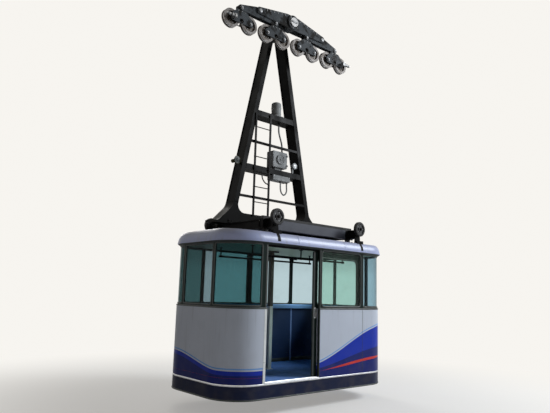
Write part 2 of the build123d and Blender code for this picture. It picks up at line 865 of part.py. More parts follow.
# Horn: a bell that opens forward, a driver behind it and an arm to the left leg.
horn_z = belt_up(horn_lift)
horn_profile = [
    (-horn_length / 2, 0),
    (-horn_length / 2, horn_radius),
    (-horn_length / 3, horn_radius * 2 / 3),
    (0, horn_throat),
    (0, horn_radius / 2),
    (horn_length / 2, horn_radius / 2),
    (horn_length / 2, 0),
]
with BuildPart() as horn:
    add(turned(horn_x, hanger_y, horn_z, horn_profile))
    block(
        horn_x,
        -leg_inner_x(horn_z) - leg_width / 2,
        hanger_y + horn_arm / 2,
        hanger_y + 3 * horn_arm / 2,
        horn_z - horn_arm / 2,
        horn_z + horn_arm / 2,
    )
    add(legs["left"], mode=Mode.SUBTRACT)
save(horn.part, "hanger_horn")

with BuildPart() as damper:
    unit_z = top_bar_z + bar_height / 2
    with BuildSketch(Plane.XY.offset(unit_z)):
        with Locations((unit_x, hanger_y)):
            Circle(unit_radius)
    extrude(amount=unit_height)
    fillet(damper.faces().sort_by(Axis.Z)[-1].edges(), unit_dome)
    with BuildSketch(Plane.XY.offset(unit_z)):
        with Locations((unit_x, hanger_y)):
            RectangleRounded(2 * unit_foot_radius, 2 * unit_foot_radius, unit_dome)
    extrude(amount=unit_foot)
save(damper.part, "hanger_damper")


# Cables: the object holds them at both ends, so each is a tube of straight runs and tangent arcs.
def tube(points, radius):
    """A tube along points, whose arcs are as large as 0.45 of the shorter run beside them allows."""
    ends = [Vector(*point) for point in points]
    runs = [after - before for before, after in zip(ends, ends[1:])]
    radii = []
    for run, following in zip(runs, runs[1:]):
        half_turn = radians(run.get_angle(following)) / 2
        radii.append(0.45 * min(run.length, following.length) / tan(half_turn))
    print("arc radii", [round(value) for value in radii])
    with BuildPart() as cable:
        with BuildLine() as path:
            FilletPolyline(*ends, radius=radii)
        with BuildSketch(Plane(origin=path.line @ 0, z_dir=path.line % 0)):
            Circle(radius)
        sweep()
    return cable.part


conduit_x = unit_x + unit_radius - conduit_radius
conduit_foot_x = control_box_x + control_box[0] / 3
conduit_top = top_bar_z - bar_height / 2
conduit_drop = conduit_top - control_top
conduit_points = [
    (conduit_x, hanger_y, conduit_top),
    (conduit_x, hanger_y, conduit_top - conduit_bend * conduit_drop),
    (conduit_foot_x, hanger_y, control_top + conduit_bend * conduit_drop),
    (conduit_foot_x, hanger_y, control_top),
]
save(tube(conduit_points, conduit_radius), "hanger_cable")

# Two loops hang under the middle bar. One ends on the ladder's rail, the other goes back into the lower box.
# Columns: x from the loop's start, share of the way forward to the ladder, drop below the start.
ladder_side_x = ladder_left + ladder_width - ladder_rail / 2
loop_start_y = hanger_front_y + ladder_thickness
ladder_loop = [(0, 0, 0), (0, 0, 70), (12, 0.3, 130), (40, 0.7, 180), (82, 1, 212), (127, 1, 212)]
box_loop = [
    (0, 0, 0),
    (0, 0, 75),
    (-6, 0.3, 150),
    (12, 0.5, 222),
    (70, 0.5, 266),
    (128, 0.5, 230),
    (158, 0.3, 155),
    (156, 0, 78),
    (156, 0, 0),
]


def loop_points(start_x, start_z, rows):
    """Points in space of a hanging loop from its table."""
    return [(start_x + x, loop_start_y + share * (ladder_y - loop_start_y), start_z - drop) for x, share, drop in rows]


with BuildPart() as loops:
    add(tube(loop_points(ladder_side_x - ladder_loop[-1][0], mid_bar_bottom, ladder_loop), cable_radius))
    add(tube(loop_points(lower_box_x - cable_radius, lower_box_bottom, box_loop), cable_radius))
save(loops.part, "hanger_cable_loops")

# Rollers on the rope: a round groove between two flanges, a thin web and a hub.
half = roller_width / 2
groove_bottom = groove_radius
groove_top = groove_radius + rope_grip
with BuildPart() as roller:
    with BuildSketch(Plane.YZ):
        with BuildLine():
            Polyline(
                (rope_radius, groove_top),
                (half - rim_tip, rim_radius),
                (half, rim_radius),
                (half, groove_radius - rim_rib),
                (roller_web / 2, groove_radius - 2 * rim_rib),
                (roller_web / 2, roller_hub_radius),
                (half, roller_hub_radius),
                (half, roller_axle_radius + running_gap),
                (-half, roller_axle_radius + running_gap),
                (-half, roller_hub_radius),
                (-roller_web / 2, roller_hub_radius),
                (-roller_web / 2, groove_radius - 2 * rim_rib),
                (-half, groove_radius - rim_rib),
                (-half, rim_radius),
                (-half + rim_tip, rim_radius),
                (-rope_radius, groove_top),
            )
            ThreePointArc((-rope_radius, groove_top), (0, groove_bottom), (rope_radius, groove_top))
        make_face()
    revolve(axis=Axis.Y)
bogie_xs = [
    rocker_x + bogie_side * bogie_pitch / 2 for rocker_x in (-rocker_pitch / 2, rocker_pitch / 2) for bogie_side in (-1, 1)
]
roller_xs = [bogie_x + side * roller_pitch / 2 for bogie_x in bogie_xs for side in (-1, 1)]
for number, x in enumerate(roller_xs, start=1):
    save(Pos(x, 0, axle_z) * roller.part, f"roller_{number}")

# Bogie frames: two cheeks and a bridge over each pair of rollers, with a lug for the pivot.
with BuildPart() as bogies:
    for bogie_x in bogie_xs:
        cheek_end = roller_pitch / 2 + cheek_drop
        cheek_outline = [
            (bogie_x - cheek_end, axle_z - cheek_drop),
            (bogie_x + cheek_end, axle_z - cheek_drop),
            (bogie_x + cheek_end, axle_z + cheek_drop),
            (bogie_x + roller_pitch / 4, bogie_roof_z + bogie_top),
            (bogie_x - roller_pitch / 4, bogie_roof_z + bogie_top),
            (bogie_x - cheek_end, axle_z + cheek_drop),
        ]
        for plate_y in (-cheek_outer, cheek_y):
            bored_plate(cheek_outline, cheek_radius, [(bogie_x, axle_z)], cheek_hole_radius, plate_y, cheek_thickness)
        block(
            bogie_x - roller_pitch / 4,
            bogie_x + roller_pitch / 4,
            -cheek_outer,
            cheek_outer,
            bogie_roof_z,
            bogie_roof_z + bogie_top,
        )
        with BuildSketch(Plane.XZ):
            with Locations((bogie_x - roller_pitch / 2, axle_z), (bogie_x + roller_pitch / 2, axle_z)):
                Circle(roller_axle_radius)
        extrude(amount=cheek_outer + axle_nut, both=True)
        with BuildSketch(Plane.XZ):
            with Locations((bogie_x, bogie_pivot_z)):
                Circle(pivot_lug_radius)
            with Locations((bogie_x, (bogie_roof_z + bogie_pivot_z) / 2)):
                Rectangle(2 * pivot_lug_radius, bogie_pivot_z - bogie_roof_z)
            with Locations((bogie_x, bogie_pivot_z)):
                Circle(pivot_radius + pivot_fit, mode=Mode.SUBTRACT)
        extrude(amount=pivot_lug_width / 2, both=True)
save(bogies.part, "bogie_frames")

# Rockers: a pair of plates over each pair of bogies, joined by the three pivot pins.
with BuildPart() as rockers:
    for rocker_x in (-rocker_pitch / 2, rocker_pitch / 2):
        rocker_end = bogie_pitch / 2 + pivot_lug_radius
        rocker_outline = [
            (rocker_x - rocker_end, bogie_pivot_z - rocker_slope),
            (rocker_x + rocker_end, bogie_pivot_z - rocker_slope),
            (rocker_x + rocker_end, bogie_pivot_z + rocker_slope),
            (rocker_x + pivot_lug_radius, rocker_pivot_z + pivot_lug_radius),
            (rocker_x - pivot_lug_radius, rocker_pivot_z + pivot_lug_radius),
            (rocker_x - rocker_end, bogie_pivot_z + rocker_slope),
        ]
        for plate_y in (-rocker_y - rocker_plate, rocker_y):
            bored_plate(rocker_outline, cheek_radius, [], 0, plate_y, rocker_plate)
        with BuildSketch(Plane.XZ):
            with Locations((rocker_x - bogie_pitch / 2, bogie_pivot_z), (rocker_x + bogie_pitch / 2, bogie_pivot_z)):
                Circle(pivot_radius)
        extrude(amount=rocker_y + rocker_plate + axle_nut, both=True)
        with BuildSketch(Plane.XZ):
            with Locations((rocker_x, rocker_pivot_z)):
                Circle(pivot_radius)
        extrude(amount=main_beam_y + main_beam_plate + axle_nut, both=True)
save(rockers.part, "rocker_beams")

# Main beam: two deep plates with a cover and ribs between them, and a hub for the pin.
beam_end_x = rocker_pitch / 2 + pivot_lug_radius
beam_low_z = rocker_pivot_z - pivot_lug_radius
beam_shoulder_z = rocker_pivot_z + pivot_lug_radius
beam_top_z = pin_z + pin_hub_radius
beam_half = [
    (pin_hub_radius, pin_z - pin_hub_radius),
    (beam_end_x - 2 * pivot_lug_radius, beam_low_z),
    (beam_end_x, beam_low_z),
    (beam_end_x, beam_shoulder_z),
    (pin_hub_radius, beam_top_z),
]
beam_outline = beam_half + [(-x, z) for x, z in reversed(beam_half)]
beam_top_slope = (beam_top_z - beam_shoulder_z) / (beam_end_x - pin_hub_radius)
with BuildPart() as beam_filling:
    with BuildSketch(Plane.XZ) as filling_face:
        with BuildLine():
            Polyline(*beam_outline, close=True)
        make_face()
    extrude(amount=main_beam_y, both=True)
with BuildPart() as main_beam:
    cover_low_z = beam_top_z - beam_top_slope * (main_beam_cover_half - pin_hub_radius)
    with BuildSketch(Plane.XZ):
        with BuildLine():
            Polyline(
                (main_beam_cover_half, cover_low_z),
                (pin_hub_radius, beam_top_z),
                (-pin_hub_radius, beam_top_z),
                (-main_beam_cover_half, cover_low_z),
                (-main_beam_cover_half, cover_low_z - main_beam_plate),
                (-pin_hub_radius, beam_top_z - main_beam_plate),
                (pin_hub_radius, beam_top_z - main_beam_plate),
                (main_beam_cover_half, cover_low_z - main_beam_plate),
                close=True,
            )
        make_face()
    extrude(amount=main_beam_y, both=True)
    for rib_x in (-main_beam_rib_x, main_beam_rib_x):
        block(
            rib_x - main_beam_plate / 2,
            rib_x + main_beam_plate / 2,
            -main_beam_y,
            main_beam_y,
            beam_low_z - pin_hub_radius,
            beam_top_z,
        )
    add(beam_filling.part, mode=Mode.INTERSECT)
    pivots = [(-rocker_pitch / 2, rocker_pivot_z), (rocker_pitch / 2, rocker_pivot_z)]
    for plate_y in (-main_beam_y - main_beam_plate, main_beam_y):
        bored_plate(beam_outline, cheek_radius, pivots, pivot_radius + pivot_fit, plate_y, main_beam_plate)
    with BuildSketch(Plane.XZ):
        with Locations((0, pin_z)):
            Circle(pin_hub_radius)
    extrude(amount=hub_face_y, both=True)
    with BuildSketch(Plane.XZ):
        with Locations((0, pin_z)):
            Circle(pin_radius)
    extrude(amount=2 * hub_face_y, both=True, mode=Mode.SUBTRACT)
save(main_beam.part, "carriage_main_beam")

# Pin: it carries the hanger beside the rope, and has a collar and an end washer.
head_near_y = hanger_y - hanger_depth / 2
head_far_y = hanger_y + hanger_depth / 2
# Columns: start y, end y, radius.
pin_steps = [
    (-hub_face_y - pin_washer, -hub_face_y, pin_washer_radius),
    (-hub_face_y, head_far_y + pin_side_gap, pin_radius),
    (hub_face_y, head_near_y - pin_side_gap, pin_washer_radius),
    (head_far_y + pin_side_gap, head_far_y + pin_side_gap + pin_washer, pin_washer_radius),
]
with BuildPart() as pin:
    for start_y, end_y, step_radius in pin_steps:
        with BuildSketch(Plane.XZ.offset(-start_y)):
            with Locations((0, pin_z)):
                Circle(step_radius)
        extrude(amount=start_y - end_y)
save(pin.part, "hanger_pin")

# Sockets of the hauling rope, on an arm at each outer bogie.
outer_x = rocker_pitch / 2 + bogie_pitch / 2 + roller_pitch / 2 + cheek_drop
socket_y = -cheek_outer - socket_reach
socket_x = outer_x - socket_arm
with BuildPart() as sockets:
    for side in (-1, 1):
        block(
            side * socket_x - socket_arm / 2,
            side * socket_x + socket_arm / 2,
            socket_y - socket_arm / 2,
            -cheek_outer,
            axle_z - socket_arm / 2,
            axle_z + socket_arm / 2,
        )
        with BuildSketch(Plane.YZ.offset(side * socket_x)):
            with Locations((socket_y, axle_z)):
                Circle(socket_radius)
        extrude(amount=side * socket_length, taper=5)
    add(bogies.part, mode=Mode.SUBTRACT)
save(sockets.part, "haul_rope_sockets")
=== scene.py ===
# %% [markdown]
# # A cable car cabin, dressed for its portrait
# The construction comes in as a fixed frame: walls, roof, hanger, carriage and rollers, each at its real
# place. This script gives that frame its looks. It adds what is too fine for the construction, such as
# rubber window seals, rivets, bolts and welds, and it gives every surface a finish worked out by shader
# nodes.

# %% Load the construction
import json
import math

import bmesh
import bpy
import numpy as np
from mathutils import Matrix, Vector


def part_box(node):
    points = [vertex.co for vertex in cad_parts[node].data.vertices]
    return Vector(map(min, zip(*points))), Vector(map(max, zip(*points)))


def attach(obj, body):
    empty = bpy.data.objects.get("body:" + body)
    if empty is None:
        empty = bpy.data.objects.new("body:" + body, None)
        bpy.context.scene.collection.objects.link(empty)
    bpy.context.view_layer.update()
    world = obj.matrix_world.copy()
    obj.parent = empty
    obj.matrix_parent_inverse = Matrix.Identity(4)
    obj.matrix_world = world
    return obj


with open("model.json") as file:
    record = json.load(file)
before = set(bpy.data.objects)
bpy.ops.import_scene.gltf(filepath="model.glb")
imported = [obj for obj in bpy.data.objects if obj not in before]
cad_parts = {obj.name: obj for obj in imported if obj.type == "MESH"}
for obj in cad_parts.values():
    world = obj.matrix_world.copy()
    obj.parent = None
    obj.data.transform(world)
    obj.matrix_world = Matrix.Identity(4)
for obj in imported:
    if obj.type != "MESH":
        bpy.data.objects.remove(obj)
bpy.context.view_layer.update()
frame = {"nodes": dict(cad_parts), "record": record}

# %% [markdown]
# ## The viewpoint
# The photograph was taken close by, near the left end of the cabin and at the height of its window belt,
# with a wide lens. The same standing point gives the same perspective. A longer lens then fills the picture
# with the cabin alone, which changes the crop and not the perspective.

# %% Camera
scene = bpy.context.scene
scene.view_settings.view_transform = "Standard"

STANDPOINT = np.array([-6.367, -7.023, -4.535])
YAW, PITCH, ROLL = 0.832, 0.156, 0.011
PHOTO_FOCAL_PX = 280.0
PHOTO_CENTRE_PX = np.array([275.0, 206.5])
OBJECT_CENTRE_PX = np.array([243.0, 204.0])
PHOTO_WIDTH_PX = 550
SENSOR_MM = 36.0
ZOOM = 1.9


def aimed_axes(aim_px):
    """Right, up and forward of a camera that looks at one pixel of the photograph from the standing point."""
    forward = np.array([math.sin(YAW) * math.cos(PITCH), math.cos(YAW) * math.cos(PITCH), math.sin(PITCH)])
    level_right = np.array([math.cos(YAW), -math.sin(YAW), 0.0])
    level_up = np.cross(level_right, forward)
    right = math.cos(ROLL) * level_right + math.sin(ROLL) * level_up
    up = np.cross(right, forward)
    across, down = (aim_px - PHOTO_CENTRE_PX) / PHOTO_FOCAL_PX
    forward = forward + across * right - down * up
    forward /= np.linalg.norm(forward)
    right -= right @ forward * forward
    right /= np.linalg.norm(right)
    return right, np.cross(right, forward), forward


def placed_matrix(right, up, back, place):
    """The matrix of an object whose own axes point right, up and back."""
    matrix = np.eye(4)
    matrix[:3] = np.stack([right, up, back, place], -1)
    return matrix.T


camera_data = bpy.data.cameras.new("camera")
camera = bpy.data.objects.new("camera", camera_data)
scene.collection.objects.link(camera)
right, up, forward = aimed_axes(OBJECT_CENTRE_PX)
camera.matrix_world = placed_matrix(right, up, -forward, STANDPOINT)
camera_data.sensor_width = SENSOR_MM
camera_data.lens = ZOOM * PHOTO_FOCAL_PX * SENSOR_MM / PHOTO_WIDTH_PX
camera_data.clip_end = 200
scene.camera = camera
print("lens", round(camera_data.lens, 2), "mm")

# %% [markdown]
# ## Shader nodes, written short
# A finish is a small network of nodes. Typing every node and link by hand hides the idea, so one class
# keeps the network and each of its methods adds one step of it. All patterns read Object coordinates. They
# are the frame's own metres, so a 5 mm scratch is 5 mm on every piece and stays on it when the piece moves.

# %% Networks of nodes
class Network:
    """A material under construction. A method adds a node or two and returns the socket to use next."""

    def __init__(self, name, rough=0.5, metal=0.0, sheen=0.5):
        """Starts with the main shader, and with the place of every point in metres."""
        self.material = bpy.data.materials.new(name)
        self.material.use_nodes = True
        self.tree = self.material.node_tree
        self.shader = self.tree.nodes["Principled BSDF"]
        self.feed(self.shader, "Roughness", rough)
        self.feed(self.shader, "Metallic", metal)
        self.feed(self.shader, "Specular IOR Level", sheen)
        self.place = self.add("ShaderNodeTexCoord").outputs["Object"]
        split = self.add("ShaderNodeSeparateXYZ", Vector=self.place)
        self.x, self.y, self.z = split.outputs

    def feed(self, node, socket, value):
        """Links a socket to an input, or sets the input to a constant."""
        if isinstance(value, bpy.types.NodeSocket):
            self.tree.links.new(value, node.inputs[socket])
        else:
            node.inputs[socket].default_value = value

    def add(self, kind, **inputs):
        """A new node with its inputs fed by name. An underscore in a name stands for a space."""
        node = self.tree.nodes.new(kind)
        for socket, value in inputs.items():
            self.feed(node, socket.replace("_", " "), value)
        return node

    def math(self, operation, a, b=0.0):
        """The result of one operation on a and b."""
        node = self.add("ShaderNodeMath")
        node.operation = operation
        self.feed(node, 0, a)
        self.feed(node, 1, b)
        return node.outputs[0]

    def times(self, a, b):
        """a times b."""
        return self.math("MULTIPLY", a, b)

    def plus(self, a, b):
        """a plus b."""
        return self.math("ADD", a, b)

    def minus(self, a, b):
        """a less b."""
        return self.math("SUBTRACT", a, b)

    def blend(self, share, first, second):
        """A surface that goes from the first shader to the second with the share."""
        node = self.add("ShaderNodeMixShader")
        for place, value in enumerate((share, first, second)):
            self.feed(node, place, value)
        return node.outputs[0]

    def show(self, surface):
        """Makes a shader the surface of the material."""
        self.feed(self.tree.nodes["Material Output"], "Surface", surface)

    def done(self, colour, rough=None):
        """Sets the colour, and the roughness if one is given. Returns the finished material."""
        self.feed(self.shader, "Base Color", (*colour, 1) if isinstance(colour, tuple) else colour)
        if rough is not None:
            self.feed(self.shader, "Roughness", rough)
        return self.material


print("sums and mixes ready")

# %% [markdown]
# ## Steps that all finishes share
# Paint, rubber and metal differ less than they seem. Each is a base colour with noise through a soft
# threshold, dust on what looks up, wear on the edges and a slight bump. These steps are the words of the
# recipes below. The Bevel node finds the edges: it gives a rounded normal, and where that leans away from
# the true one, an edge is near.

# %% Patterns of a finish
class Recipe(Network):
    """A network with the patterns of real surfaces."""

    def noise(self, scale, detail=3.0, stretch=(1, 1, 1)):
        """Cloudy noise from 0 to 1. The stretch divides its frequency along each axis."""
        mapping = self.add("ShaderNodeMapping", Vector=self.place)
        mapping.inputs["Scale"].default_value = [1 / s for s in stretch]
        cloud = self.add("ShaderNodeTexNoise", Vector=mapping.outputs[0], Scale=scale, Detail=detail)
        return cloud.outputs["Fac"]

    def fade(self, value, start, end, low=0.0, high=1.0):
        """Goes smoothly from low to high while the value goes from start to end, and is level outside."""
        node = self.add("ShaderNodeMapRange", Value=value)
        node.interpolation_type = "SMOOTHSTEP"
        for place, number in enumerate((start, end, low, high), start=1):
            node.inputs[place].default_value = number
        return node.outputs["Result"]

    def away(self, value, middle=0.0):
        """How far a value is from a middle, on either side."""
        return self.math("ABSOLUTE", self.minus(value, middle))

    def stripe(self, value, middle, half_width, soft=0.0008):
        """1 within half a width of the middle, 0 outside, with a soft edge."""
        return self.fade(self.away(value, middle), half_width + soft, half_width)

    def from_axle(self, beside, axle_z):
        """Distance from an axle along Y: the root of the squares of the ways beside it and above it."""
        above = self.minus(self.z, axle_z)
        return self.math("SQRT", self.plus(self.times(beside, beside), self.times(above, above)))

    def mix(self, factor, a, b):
        """Colour a where the factor is 0 and colour b where it is 1."""
        node = self.add("ShaderNodeMix")
        node.data_type = "RGBA"
        self.feed(node, 0, factor)
        for place, colour in ((6, a), (7, b)):
            self.feed(node, place, (*colour, 1) if isinstance(colour, tuple) else colour)
        return node.outputs[2]

    def edges(self, radius):
        """1 on the edges of a solid and 0 on its faces: how far a rounded normal leans from the true one."""
        soft = self.add("ShaderNodeBevel", Radius=radius)
        soft.samples = 6
        flat = self.add("ShaderNodeNewGeometry")
        lean = self.add("ShaderNodeVectorMath")
        lean.operation = "DOT_PRODUCT"
        self.feed(lean, 0, soft.outputs[0])
        self.feed(lean, 1, flat.outputs["Normal"])
        return self.fade(lean.outputs["Value"], 0.985, 0.80)

    def upward(self):
        """1 where the surface looks up and dust can lie, 0 on walls and below."""
        flat = self.add("ShaderNodeNewGeometry")
        normal = self.add("ShaderNodeSeparateXYZ", Vector=flat.outputs["Normal"])
        return self.fade(normal.outputs[2], 0.25, 0.95)

    def bump(self, height, distance, strength=1.0):
        """Tilts the normal as if the height, times the distance, were real relief."""
        node = self.add("ShaderNodeBump", Height=height, Distance=distance, Strength=strength)
        self.feed(self.shader, "Normal", node.outputs[0])


def shade(colour, share):
    """A colour times a share: darker under 1 and lighter over it."""
    return tuple(min(1, c * share) for c in colour)


print("patterns ready")

# %% [markdown]
# ## The studio floor
# The portrait stands on a plain pale floor before a pale backdrop. The floor turns into the white of the
# backdrop a few metres away, which hides the horizon and keeps the shadow under the cabin. It could be a
# large bent sheet, as a studio has it, but a fade by distance in the shader does the same on a flat square.
# Its underside is clear, so that the cabin can also be looked at from below.

# %% Floor
FLOOR_DROP = 0.30
STUDIO_HALF = 60.0
FADE_FROM, FADE_TO = 2.6, 8.0
BACKDROP = (0.93, 0.91, 0.87)

r = Recipe("studio_floor", rough=0.85)
r.done(r.mix(r.noise(0.6, 2), (0.86, 0.85, 0.83), (0.90, 0.89, 0.87)))
far_away = r.add("ShaderNodeEmission", Color=(*BACKDROP, 1)).outputs[0]
reach = r.add("ShaderNodeVectorMath")
reach.operation = "LENGTH"
r.feed(reach, 0, r.add("ShaderNodeCombineXYZ", X=r.x, Y=r.y).outputs[0])
seen_from_camera = r.add("ShaderNodeLightPath").outputs["Is Camera Ray"]
share = r.times(r.fade(reach.outputs["Value"], FADE_FROM, FADE_TO, 0.35), seen_from_camera)
topside = r.blend(share, r.shader.outputs[0], far_away)
from_below = r.add("ShaderNodeNewGeometry").outputs["Backfacing"]
r.show(r.blend(from_below, topside, r.add("ShaderNodeBsdfTransparent").outputs[0]))

floor_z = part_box("underframe")[0].z - FLOOR_DROP
corners = np.array([(-1, -1), (1, -1), (1, 1), (-1, 1)]) * STUDIO_HALF
floor_mesh = bpy.data.meshes.new("studio_floor")
floor_mesh.from_pydata([(x, y, floor_z) for x, y in corners], [], [(0, 1, 2, 3)])
floor_mesh.materials.append(r.material)
floor = bpy.data.objects.new("studio_floor", floor_mesh)
scene.collection.objects.link(floor)
print("studio floor at", round(floor_z, 3), "m")

# %% [markdown]
# ## The backdrop
# A white world would light the cabin from everywhere and wash its shadows out. So the white is shown to the
# camera and to mirror and glass rays only, where it is a backdrop, and all other rays find a weak cool sky.

# %% Backdrop
SKY = (0.92, 0.94, 1.0)
SKY_STRENGTH = 0.10

world = bpy.data.worlds.new("studio")
world.use_nodes = True
scene.world = world
nodes, links = world.node_tree.nodes, world.node_tree.links
nodes["Background"].inputs["Color"].default_value = (*SKY, 1)
nodes["Background"].inputs["Strength"].default_value = SKY_STRENGTH
seen = nodes.new("ShaderNodeBackground")
seen.inputs["Color"].default_value = (*BACKDROP, 1)
rays = nodes.new("ShaderNodeLightPath")
sees_white = rays.outputs["Is Camera Ray"]
for kind in ("Is Glossy Ray", "Is Transmission Ray"):
    either = nodes.new("ShaderNodeMath")
    either.operation = "ADD"
    either.use_clamp = True
    links.new(sees_white, either.inputs[0])
    links.new(rays.outputs[kind], either.inputs[1])
    sees_white = either.outputs[0]
choose = nodes.new("ShaderNodeMixShader")
for place, socket in enumerate((sees_white, nodes["Background"].outputs[0], seen.outputs[0])):
    links.new(socket, choose.inputs[place])
links.new(choose.outputs[0], nodes["World Output"].inputs["Surface"])
print("backdrop hung")

# %% [markdown]
# ## The lamps
# The daylight of the photograph comes from the right front, cool and strong, and only a weak warm glow
# comes back from the left. A large round lamp stands for each, so the shadows stay soft, and a third one
# lights the side that the photograph doesn't show. The daylight stands above the camera's height, because
# level with it its mirror image would lie on every face of the black hanger and turn it grey.

# %% Lamps
# Columns: name, place, target, width, watts, colour.
lamps = [
    ("daylight", (9.5, -8.2, 2.6), (0.3, 0, -4.0), 5.0, 1650, (0.90, 0.95, 1.0)),
    ("warm_glow", (-9.0, -3.0, -1.5), (0, 0, -4.2), 5.0, 22, (1.0, 0.76, 0.50)),
    ("far_side", (4.0, 11.0, 1.0), (0, 0, -3.5), 6.0, 420, (1.0, 0.98, 0.94)),
]
for name, place, target, width, watts, colour in lamps:
    data = bpy.data.lights.new(name, "AREA")
    data.shape = "DISK"
    data.size = width
    data.energy = watts
    data.color = colour
    lamp = bpy.data.objects.new(name, data)
    scene.collection.objects.link(lamp)
    back = np.array(place) - np.array(target)
    back /= np.linalg.norm(back)
    side = np.cross([0, 0, 1], back)
    side /= np.linalg.norm(side)
    lamp.matrix_world = placed_matrix(side, np.cross(back, side), back, place)
print("lamps:", [lamp[0] for lamp in lamps])

# %% [markdown]
# ## Livery
# Below the window belt the cabin wears silver-grey satin paint with a slight blue tone. A wave of two blues
# starts low at the near left corner and climbs towards the right end, with a light blue line above it and a
# tapered red stripe inside. Above the belt only slim window frames are left, in a green that is almost
# black, and the same dark covers the band between the windows' heads and the roof's edge as painted shade
# of the eave. A printed picture could do this. Formulas in the shader are better: the edge of the wave is a
# smooth function of the place, so it is sharp at any distance and meets itself round the corners.

# %% Livery paint
SILVER = (0.52, 0.56, 0.64)
BRIGHT_BLUE = (0.012, 0.034, 0.37)
DEEP_BLUE = (0.010, 0.018, 0.14)
LIGHT_BLUE = (0.16, 0.34, 0.70)
SIGNAL_RED = (0.58, 0.045, 0.035)
# Dark green of the window frames, also laid on the band under the roof's edge as painted shade of the eave.
FRAME_GREEN_AND_EAVE_SHADE = (0.005, 0.013, 0.011)
SKIRT_NAVY = (0.010, 0.015, 0.045)
ROAD_DIRT = (0.10, 0.085, 0.065)

BELT_Z = -4.750
FLOOR_LINE_Z = -5.850
WAVE_LOW_Z, WAVE_FROM_X, WAVE_TO_X = -5.640, -0.35, 1.65
WAVE_CLIMB, FAR_CLIMB_LESS, FAR_LIFT = 0.60, 0.34, 0.19
BAND_NARROW, BAND_GROWTH = 0.06, 0.30
LINE_UP, LINE_HALF = 0.030, 0.009
RED_LOW_Z, RED_CLIMB, RED_HALF = -5.735, 0.16, 0.020
SHARP = 0.001


def livery(name, slide=0.0, frame_ends=None):
    """Painted panels. A leaf that is stored aside gives its slide, so that its wave fits when it is closed.

    The edge of the wave is a smooth step along X, higher at the right end, plus a lift towards the far side.
    Left and right of the two frame ends, where a leaf has its stiles, the paint is the frames' dark one.
    """
    r = Recipe(name, sheen=0.1)
    x = r.minus(r.x, slide)
    across = r.fade(r.y, -0.64, 0.57)
    climb = r.fade(x, WAVE_FROM_X, WAVE_TO_X)
    rise = r.times(climb, r.minus(WAVE_CLIMB, r.times(across, FAR_CLIMB_LESS)))
    edge = r.plus(r.times(across, FAR_LIFT), rise)
    above = r.minus(r.z, r.plus(edge, WAVE_LOW_Z))
    inner = r.plus(above, r.plus(r.times(climb, BAND_GROWTH), BAND_NARROW))
    red_middle = r.plus(r.times(climb, RED_CLIMB), RED_LOW_Z)
    red_half = r.times(r.fade(r.away(x, 1.0), 1.0, 0.2), RED_HALF)
    red = r.fade(r.minus(r.away(r.z, red_middle), red_half), SHARP, 0.0)

    paint = r.mix(r.fade(r.noise(1.3, 2), 0.3, 0.7), SILVER, shade(SILVER, 0.94))
    paint = r.mix(r.stripe(above, LINE_UP, LINE_HALF), paint, LIGHT_BLUE)
    paint = r.mix(r.fade(above, SHARP, 0.0), paint, BRIGHT_BLUE)
    paint = r.mix(r.fade(inner, SHARP, 0.0), paint, DEEP_BLUE)
    paint = r.mix(red, paint, SIGNAL_RED)
    paint = r.mix(r.fade(r.z, FLOOR_LINE_Z, FLOOR_LINE_Z - SHARP), paint, SKIRT_NAVY)

    streaks = r.times(r.fade(r.noise(7, 4, (0.35, 0.35, 5)), 0.52, 0.80), 0.16)
    splash = r.times(r.fade(r.z, -5.2, -6.05), r.fade(r.noise(5, 5), 0.38, 0.72))
    dirt = r.math("MAXIMUM", streaks, r.times(splash, 0.22))
    # Above the belt: dark green frames, and on the band under the roof's edge the same dark as painted shade.
    framed_and_eave_shade = r.fade(r.z, BELT_Z - SHARP, BELT_Z)
    if frame_ends:
        middle, half = sum(frame_ends) / 2, (frame_ends[1] - frame_ends[0]) / 2
        framed_and_eave_shade = r.math("MAXIMUM", framed_and_eave_shade, r.fade(r.away(r.x, middle), half, half + SHARP))
    r.bump(r.noise(140, 2), 0.0004, 0.25)
    satin = r.fade(r.noise(3, 3), 0.2, 0.8, 0.26, 0.38)
    colour = r.mix(framed_and_eave_shade, r.mix(dirt, paint, ROAD_DIRT), FRAME_GREEN_AND_EAVE_SHADE)
    return r.done(colour, r.plus(r.times(dirt, 0.5), satin))


DOOR_STROKE = 1.050
glass_low, glass_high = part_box("door_glass")
wall_paint = livery("wall_paint")
leaf_paint = livery("leaf_paint", DOOR_STROKE, (glass_low.x, glass_high.x))
print("livery on walls and leaf")

# %% [markdown]
# ## Roof and ceiling
# The roof is the same kind of paint, a little bluer, and it lies in the weather. Dust settles on the flat
# top and water carries it over the rounded edge, so the dirt is streaky there and fades towards the gutter.
# The ceiling inside is pale green laminate in plates, and a dark joint comes back at every plate's length.

# %% Roof and ceiling paint
ROOF_PAINT = (0.33, 0.375, 0.58)
DUST = (0.22, 0.20, 0.17)
CEILING_GREEN = (0.68, 0.78, 0.56)
PLATE_LENGTH = 1.20

r = Recipe("roof_paint")
lying = r.times(r.upward(), r.fade(r.noise(2.2, 5), 0.30, 0.75, 0.15, 0.75))
runs = r.times(r.fade(r.noise(9, 4, (0.5, 0.5, 4)), 0.50, 0.78), 0.34)
r.bump(r.noise(60, 3), 0.0006, 0.25)
roof_paint = r.done(r.mix(r.math("MAXIMUM", lying, runs), ROOF_PAINT, DUST), r.fade(lying, 0, 1, 0.38, 0.75))

r = Recipe("ceiling_laminate", rough=0.35)
seam = r.stripe(r.math("PINGPONG", r.x, PLATE_LENGTH / 2), PLATE_LENGTH / 2, 0.0015)
tone = r.mix(r.noise(1.5, 3), CEILING_GREEN, shade(CEILING_GREEN, 0.88))
r.bump(seam, 0.001, -1.0)
ceiling_laminate = r.done(r.mix(seam, tone, (0.05, 0.07, 0.05)))
print("roof and ceiling painted")

